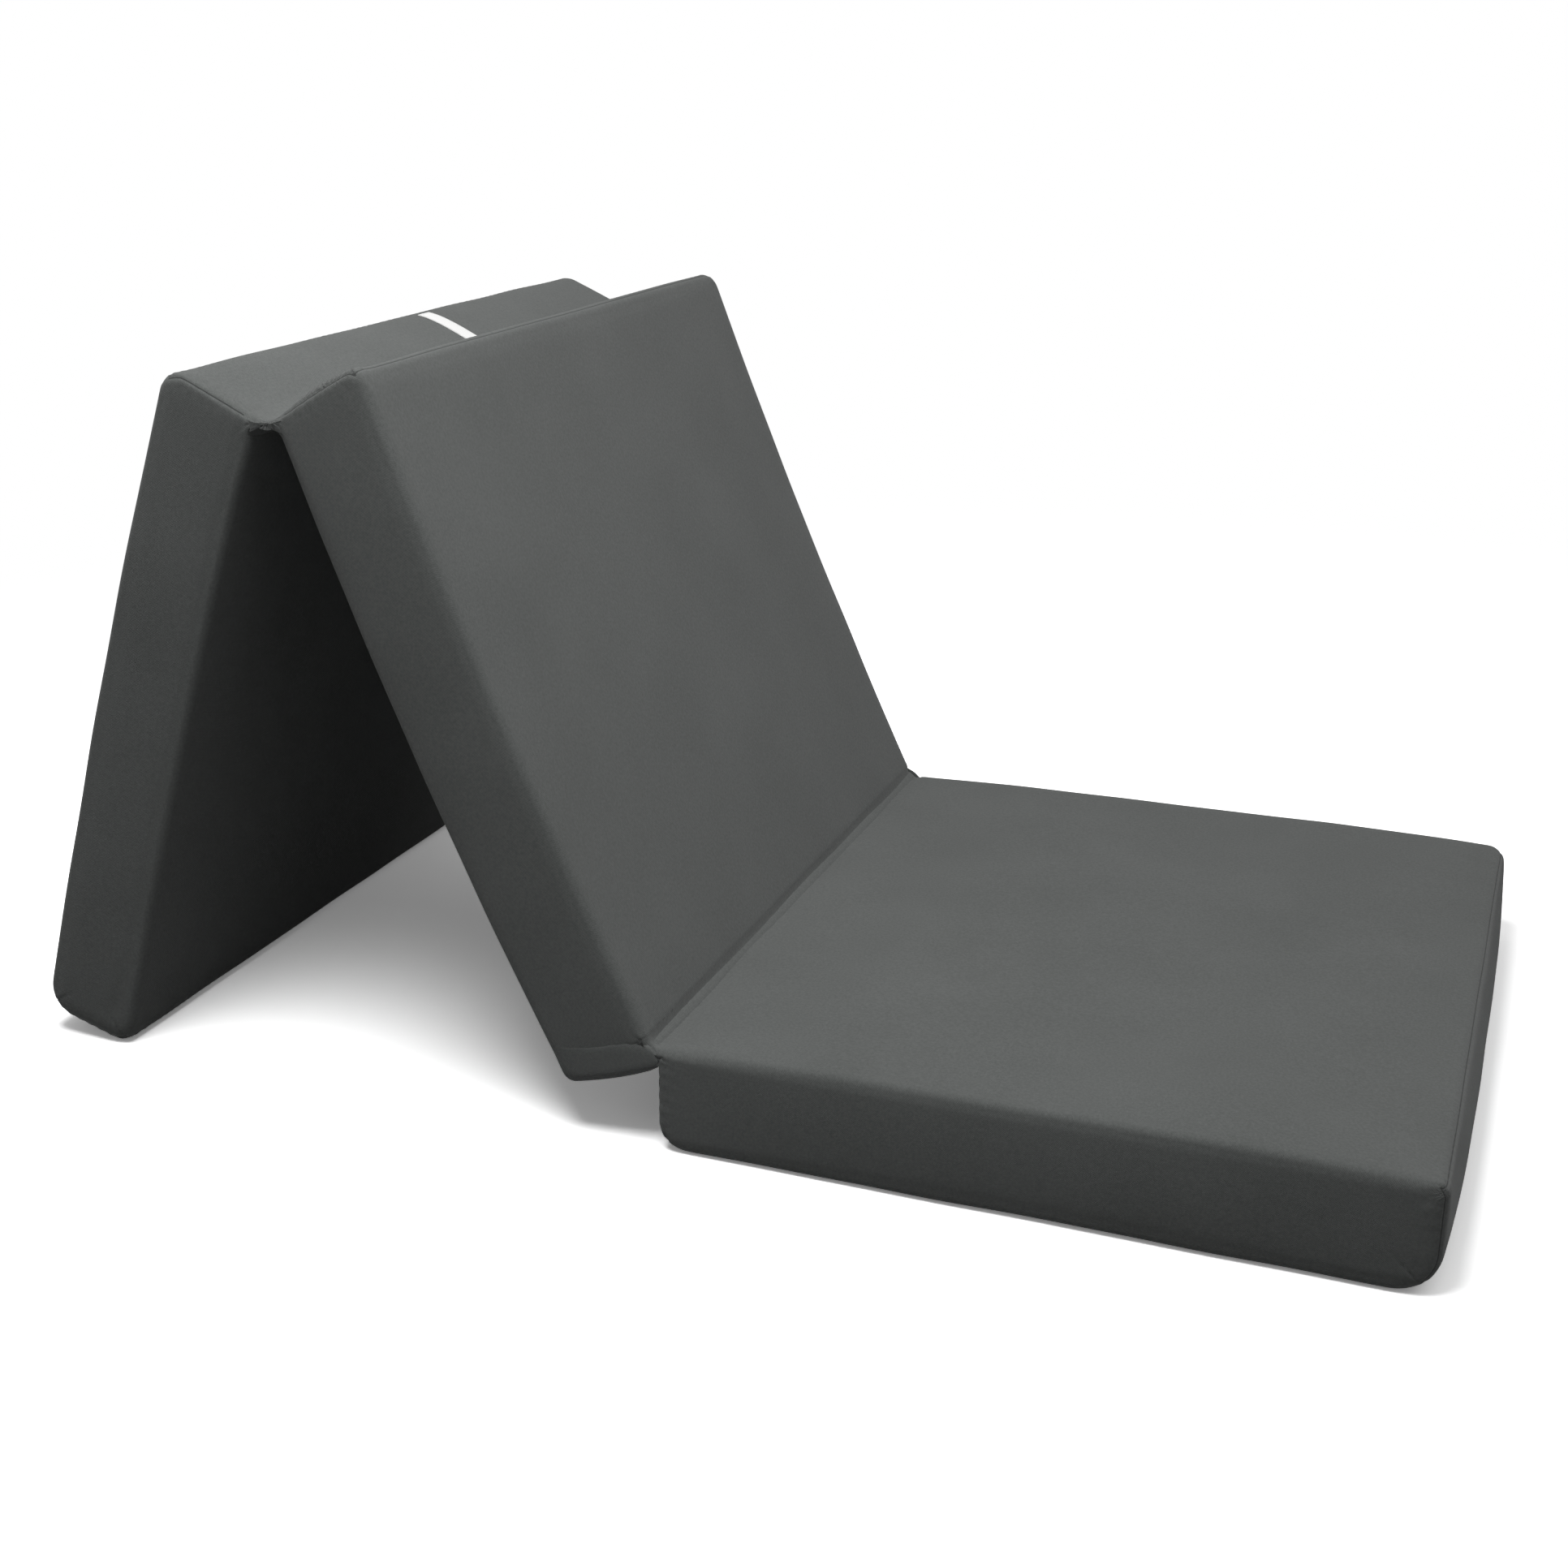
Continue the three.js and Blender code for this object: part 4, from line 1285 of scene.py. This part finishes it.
def tab_material():
    """White ribbed tape with a stitched border, from a UV map in metres along and across it."""
    s = sizes()
    material, tree, shader = new_material("white_tape")
    layout = node(tree, "ShaderNodeUVMap", uv_map="Tab").outputs["UV"]
    along, across, _ = node(tree, "ShaderNodeSeparateXYZ", {0: layout}).outputs
    ribs = math_node(tree, "SINE", math_node(tree, "MULTIPLY", across, 2 * math.pi / TAB_RIB))
    edges = []
    for value, size in ((along, s.tab_length), (across, s.tab_width)):
        centred = math_node(tree, "ABSOLUTE", math_node(tree, "SUBTRACT", value, size / 2))
        edges.append(math_node(tree, "SUBTRACT", centred, size / 2 - TAB_HEM))
    border = math_node(tree, "ABSOLUTE", math_node(tree, "MAXIMUM", *edges))
    run = math_node(tree, "ADD", along, across)
    stitch = use_group(
        tree, "Stitched seam", {"Offset": border, "Run": run, "Pitch": 2.4 * MM, "Half Width": 0.45 * MM}
    )
    white = colours().tab
    shade = shaded(tree, math_node(tree, "MULTIPLY_ADD", ribs, 0.5, 0.5), white, 1, 0.8)
    shade = mix_colour(tree, math_node(tree, "MULTIPLY", stitch["Thread"], 0.5), shade, [0.45 * v for v in white])
    height = math_node(tree, "SUBTRACT", ribs, stitch["Line"])
    feed(tree, shader, {"Base Color": shade, "Roughness": 0.7, "Normal": bump(tree, height, 0.8, 0.15 * MM)})
    return material


TAB_RIB = 2.6 * MM
TAB_HEM = 1.6 * MM


# ---- operators


def pinches():
    """Points where the cloth is pinched: both ends of the upper fold, the foot panel's near corner and its near end.
    Each has the reach of its pleats and the radius of the painted shade at its middle.
    """
    s = sizes()
    side = s.width / 2
    apex = JOINTS["middle_head_fold"]["pos_m"]
    foot = s.foot_length / 2
    top = s.foot_lift + s.height
    knots = [((apex[0] + 5 * MM, y, apex[2] - 13 * MM), 24 * MM, 2.4 * MM) for y in (-side, side)]
    corner = ((foot - 3 * MM, 2 * MM - side, top - 3 * MM), 16 * MM, 2.2 * MM)
    nips = [((-foot, 1 * MM - side, top - drop), 5 * MM, 1.3 * MM) for drop in (27 * MM, 32 * MM)]
    return [*knots, corner, *nips]


class MATTRESS_OT_covers(bpy.types.Operator):
    """Make the three cloth covers"""

    bl_idname = "mattress.covers"
    bl_label = "Cloth covers"

    def execute(self, context):
        c = colours()
        material = cloth_material(WOVEN_CLOTH, tuple(c.cloth), tuple(c.cloth_dark), pinches())
        for name in PANEL_NAMES:
            make_cover(name, material)
        return {"FINISHED"}


class MATTRESS_OT_foam(bpy.types.Operator):
    """Make the three foam cores"""

    bl_idname = "mattress.foam"
    bl_label = "Foam cores"

    def execute(self, context):
        material = foam_material()
        for name in PANEL_NAMES:
            make_foam(name, material)
        return {"FINISHED"}


class MATTRESS_OT_folds(bpy.types.Operator):
    """Make the cloth of the two folds"""

    bl_idname = "mattress.folds"
    bl_label = "Fold cloth"

    def execute(self, context):
        material = bpy.data.materials[WOVEN_CLOTH]
        lower = (panel_directions("foot", "left", "top"), panel_directions("middle", "right", "top"))
        make_fold("lower_fold_cloth", "foot_middle_fold", "foot_middle_fold_strip", ("foot", "middle"), lower,
                  lower_section, material)
        make_squeezed_end(material)
        upper = (panel_directions("middle", "left", "bottom"), panel_directions("head", "right", "bottom"))
        make_fold("upper_fold_cloth", "middle_head_fold", "middle_head_fold_strip", ("middle", "head"), upper,
                  upper_section, material)
        return {"FINISHED"}


class MATTRESS_OT_tab(bpy.types.Operator):
    """Make the white tab on the head panel's free end"""

    bl_idname = "mattress.tab"
    bl_label = "End tab"

    def execute(self, context):
        make_tab(tab_material())
        return {"FINISHED"}


class MATTRESS_OT_zips(bpy.types.Operator):
    """Finish the zips, which keep their CAD shapes"""

    bl_idname = "mattress.zips"
    bl_label = "Zips"

    def execute(self, context):
        tape, metal = zip_cloth_material(), metal_material()
        for name, obj in frame["nodes"].items():
            if "_zip_" in name:
                obj.data.materials.clear()
                obj.data.materials.append(tape if name.endswith("_half") else metal)
        return {"FINISHED"}


CAMERA_PLACE = (0.3414, -1.87, 0.9205)
CAMERA_PITCH = math.radians(19.74)
CAMERA_YAW = math.radians(20.26)
CAMERA_ROLL = math.radians(0.44)
CAMERA_LENS = 49.45
WORLD_LEVEL = 0.21
SUN_LEVEL = 0.55
SUN_FROM = (0.33, 0.2, 0.94)
SUN_SPREAD = math.radians(60)
SOFTBOX_LEVEL = 33.0
SOFTBOX_SIZE = 1.0
SOFTBOX_PLACE = (-0.4, -0.8, 2.1)
SOFTBOX_AIM = (-0.4, 0.0, 0.3)
FLOOR_GLOW = 0.15
FLOOR_FADE = (1.25, 2.4)


class MATTRESS_OT_stage(bpy.types.Operator):
    """Make the floor, the light and the camera"""

    bl_idname = "mattress.stage"
    bl_label = "Stage"

    def execute(self, context):
        self.camera(context)
        self.light(context)
        self.floor(context)
        context.scene.view_settings.view_transform = "Standard"
        return {"FINISHED"}

    def camera(self, context):
        deselect_all()
        upright = Matrix.Rotation(CAMERA_YAW, 3, "Z") @ Matrix.Rotation(math.pi / 2 - CAMERA_PITCH, 3, "X")
        bpy.ops.object.camera_add(location=CAMERA_PLACE)
        camera = context.object
        camera.rotation_euler = (upright @ Matrix.Rotation(CAMERA_ROLL, 3, "Z")).to_euler("XYZ")
        camera.data.lens = CAMERA_LENS
        camera.data.sensor_width = 36
        camera.data.clip_end = 100
        context.scene.camera = camera

    def light(self, context):
        deselect_all()
        bpy.ops.object.light_add(type="SUN", location=(0, 0, 3))
        sun = context.object
        sun.rotation_euler = Vector(SUN_FROM).to_track_quat("Z", "Y").to_euler()
        sun.data.energy = SUN_LEVEL
        sun.data.angle = SUN_SPREAD
        bpy.ops.object.light_add(type="AREA", location=SOFTBOX_PLACE)
        softbox = context.object
        softbox.name = "softbox"
        softbox.rotation_euler = (Vector(SOFTBOX_PLACE) - Vector(SOFTBOX_AIM)).to_track_quat("Z", "Y").to_euler()
        softbox.data.shape = "DISK"
        softbox.data.size = SOFTBOX_SIZE
        softbox.data.energy = SOFTBOX_LEVEL
        world = bpy.data.worlds.new("Studio")
        context.scene.world = world
        world.use_nodes = True
        tree = world.node_tree
        tree.nodes.clear()
        ambient, seen = (
            node(tree, "ShaderNodeBackground", {"Color": (1, 1, 1), "Strength": level}) for level in (WORLD_LEVEL, 1)
        )
        mix = mix_shaders(tree, seen_rays(tree), ambient.outputs[0], seen.outputs[0])
        node(tree, "ShaderNodeOutputWorld", {"Surface": mix})

    def floor(self, context):
        """A floor that the camera sees as bright and fading to white, and that lights the mattress only a little."""
        deselect_all()
        bpy.ops.mesh.primitive_plane_add(size=60, location=(0, 0, 0))
        floor = context.object
        floor.name = "floor"
        material, tree, shader = new_material("studio_floor")
        tree.nodes.remove(shader)
        seen, bounce = (
            node(tree, "ShaderNodeBsdfDiffuse", {"Color": tint}).outputs[0]
            for tint in (colours().floor, colours().bounce)
        )
        glow, white = (node(tree, "ShaderNodeEmission", {"Strength": level}).outputs[0] for level in (FLOOR_GLOW, 1))
        bright = seen
        for more in (seen, glow):
            bright = node(tree, "ShaderNodeAddShader", {0: bright, 1: more}).outputs[0]
        distance = vector_node(tree, "LENGTH", "Value", object_places(tree))
        away = map_range(tree, distance, *FLOOR_FADE, interpolation_type="SMOOTHSTEP")
        ground = mix_shaders(tree, away, bright, white)
        mix = mix_shaders(tree, seen_rays(tree), bounce, ground)
        feed(tree, tree.nodes["Material Output"], {"Surface": mix})
        floor.data.materials.append(material)


def mix_shaders(tree, share, a, b):
    return node(tree, "ShaderNodeMixShader", {0: share, 1: a, 2: b}).outputs[0]


def seen_rays(tree):
    """1 for rays that the camera sends straight, or by way of a mirror or glass."""
    rays = node(tree, "ShaderNodeLightPath").outputs
    first = math_node(tree, "MAXIMUM", rays["Is Camera Ray"], rays["Is Glossy Ray"])
    return math_node(tree, "MAXIMUM", first, rays["Is Transmission Ray"])


class MATTRESS_PT_pieces(bpy.types.Panel):
    """Lists the steps that make the mattress"""

    bl_idname = "MATTRESS_PT_pieces"
    bl_label = "Folding mattress"
    bl_space_type = "VIEW_3D"
    bl_region_type = "UI"
    bl_category = "Mattress"

    def draw(self, context):
        for step in STEPS:
            self.layout.operator(step.bl_idname)
        for group in (context.scene.mattress_sizes, context.scene.mattress_colours):
            box = self.layout.box()
            for key in group.__annotations__:
                box.prop(group, key)


STEPS = (
    MATTRESS_OT_stage,
    MATTRESS_OT_covers,
    MATTRESS_OT_foam,
    MATTRESS_OT_folds,
    MATTRESS_OT_tab,
    MATTRESS_OT_zips,
)
CLASSES = (MattressSizes, MattressColours, *STEPS, MATTRESS_PT_pieces)


def register():
    for cls in CLASSES:
        bpy.utils.register_class(cls)
    bpy.types.Scene.mattress_sizes = bpy.props.PointerProperty(type=MattressSizes)
    bpy.types.Scene.mattress_colours = bpy.props.PointerProperty(type=MattressColours)


def unregister():
    del bpy.types.Scene.mattress_colours
    del bpy.types.Scene.mattress_sizes
    for cls in reversed(CLASSES):
        bpy.utils.unregister_class(cls)


def main():
    register()
    bpy.ops.mattress.stage()
    bpy.ops.mattress.covers()
    bpy.ops.mattress.foam()
    bpy.ops.mattress.folds()
    bpy.ops.mattress.tab()
    bpy.ops.mattress.zips()


if __name__ == "__main__":
    main()
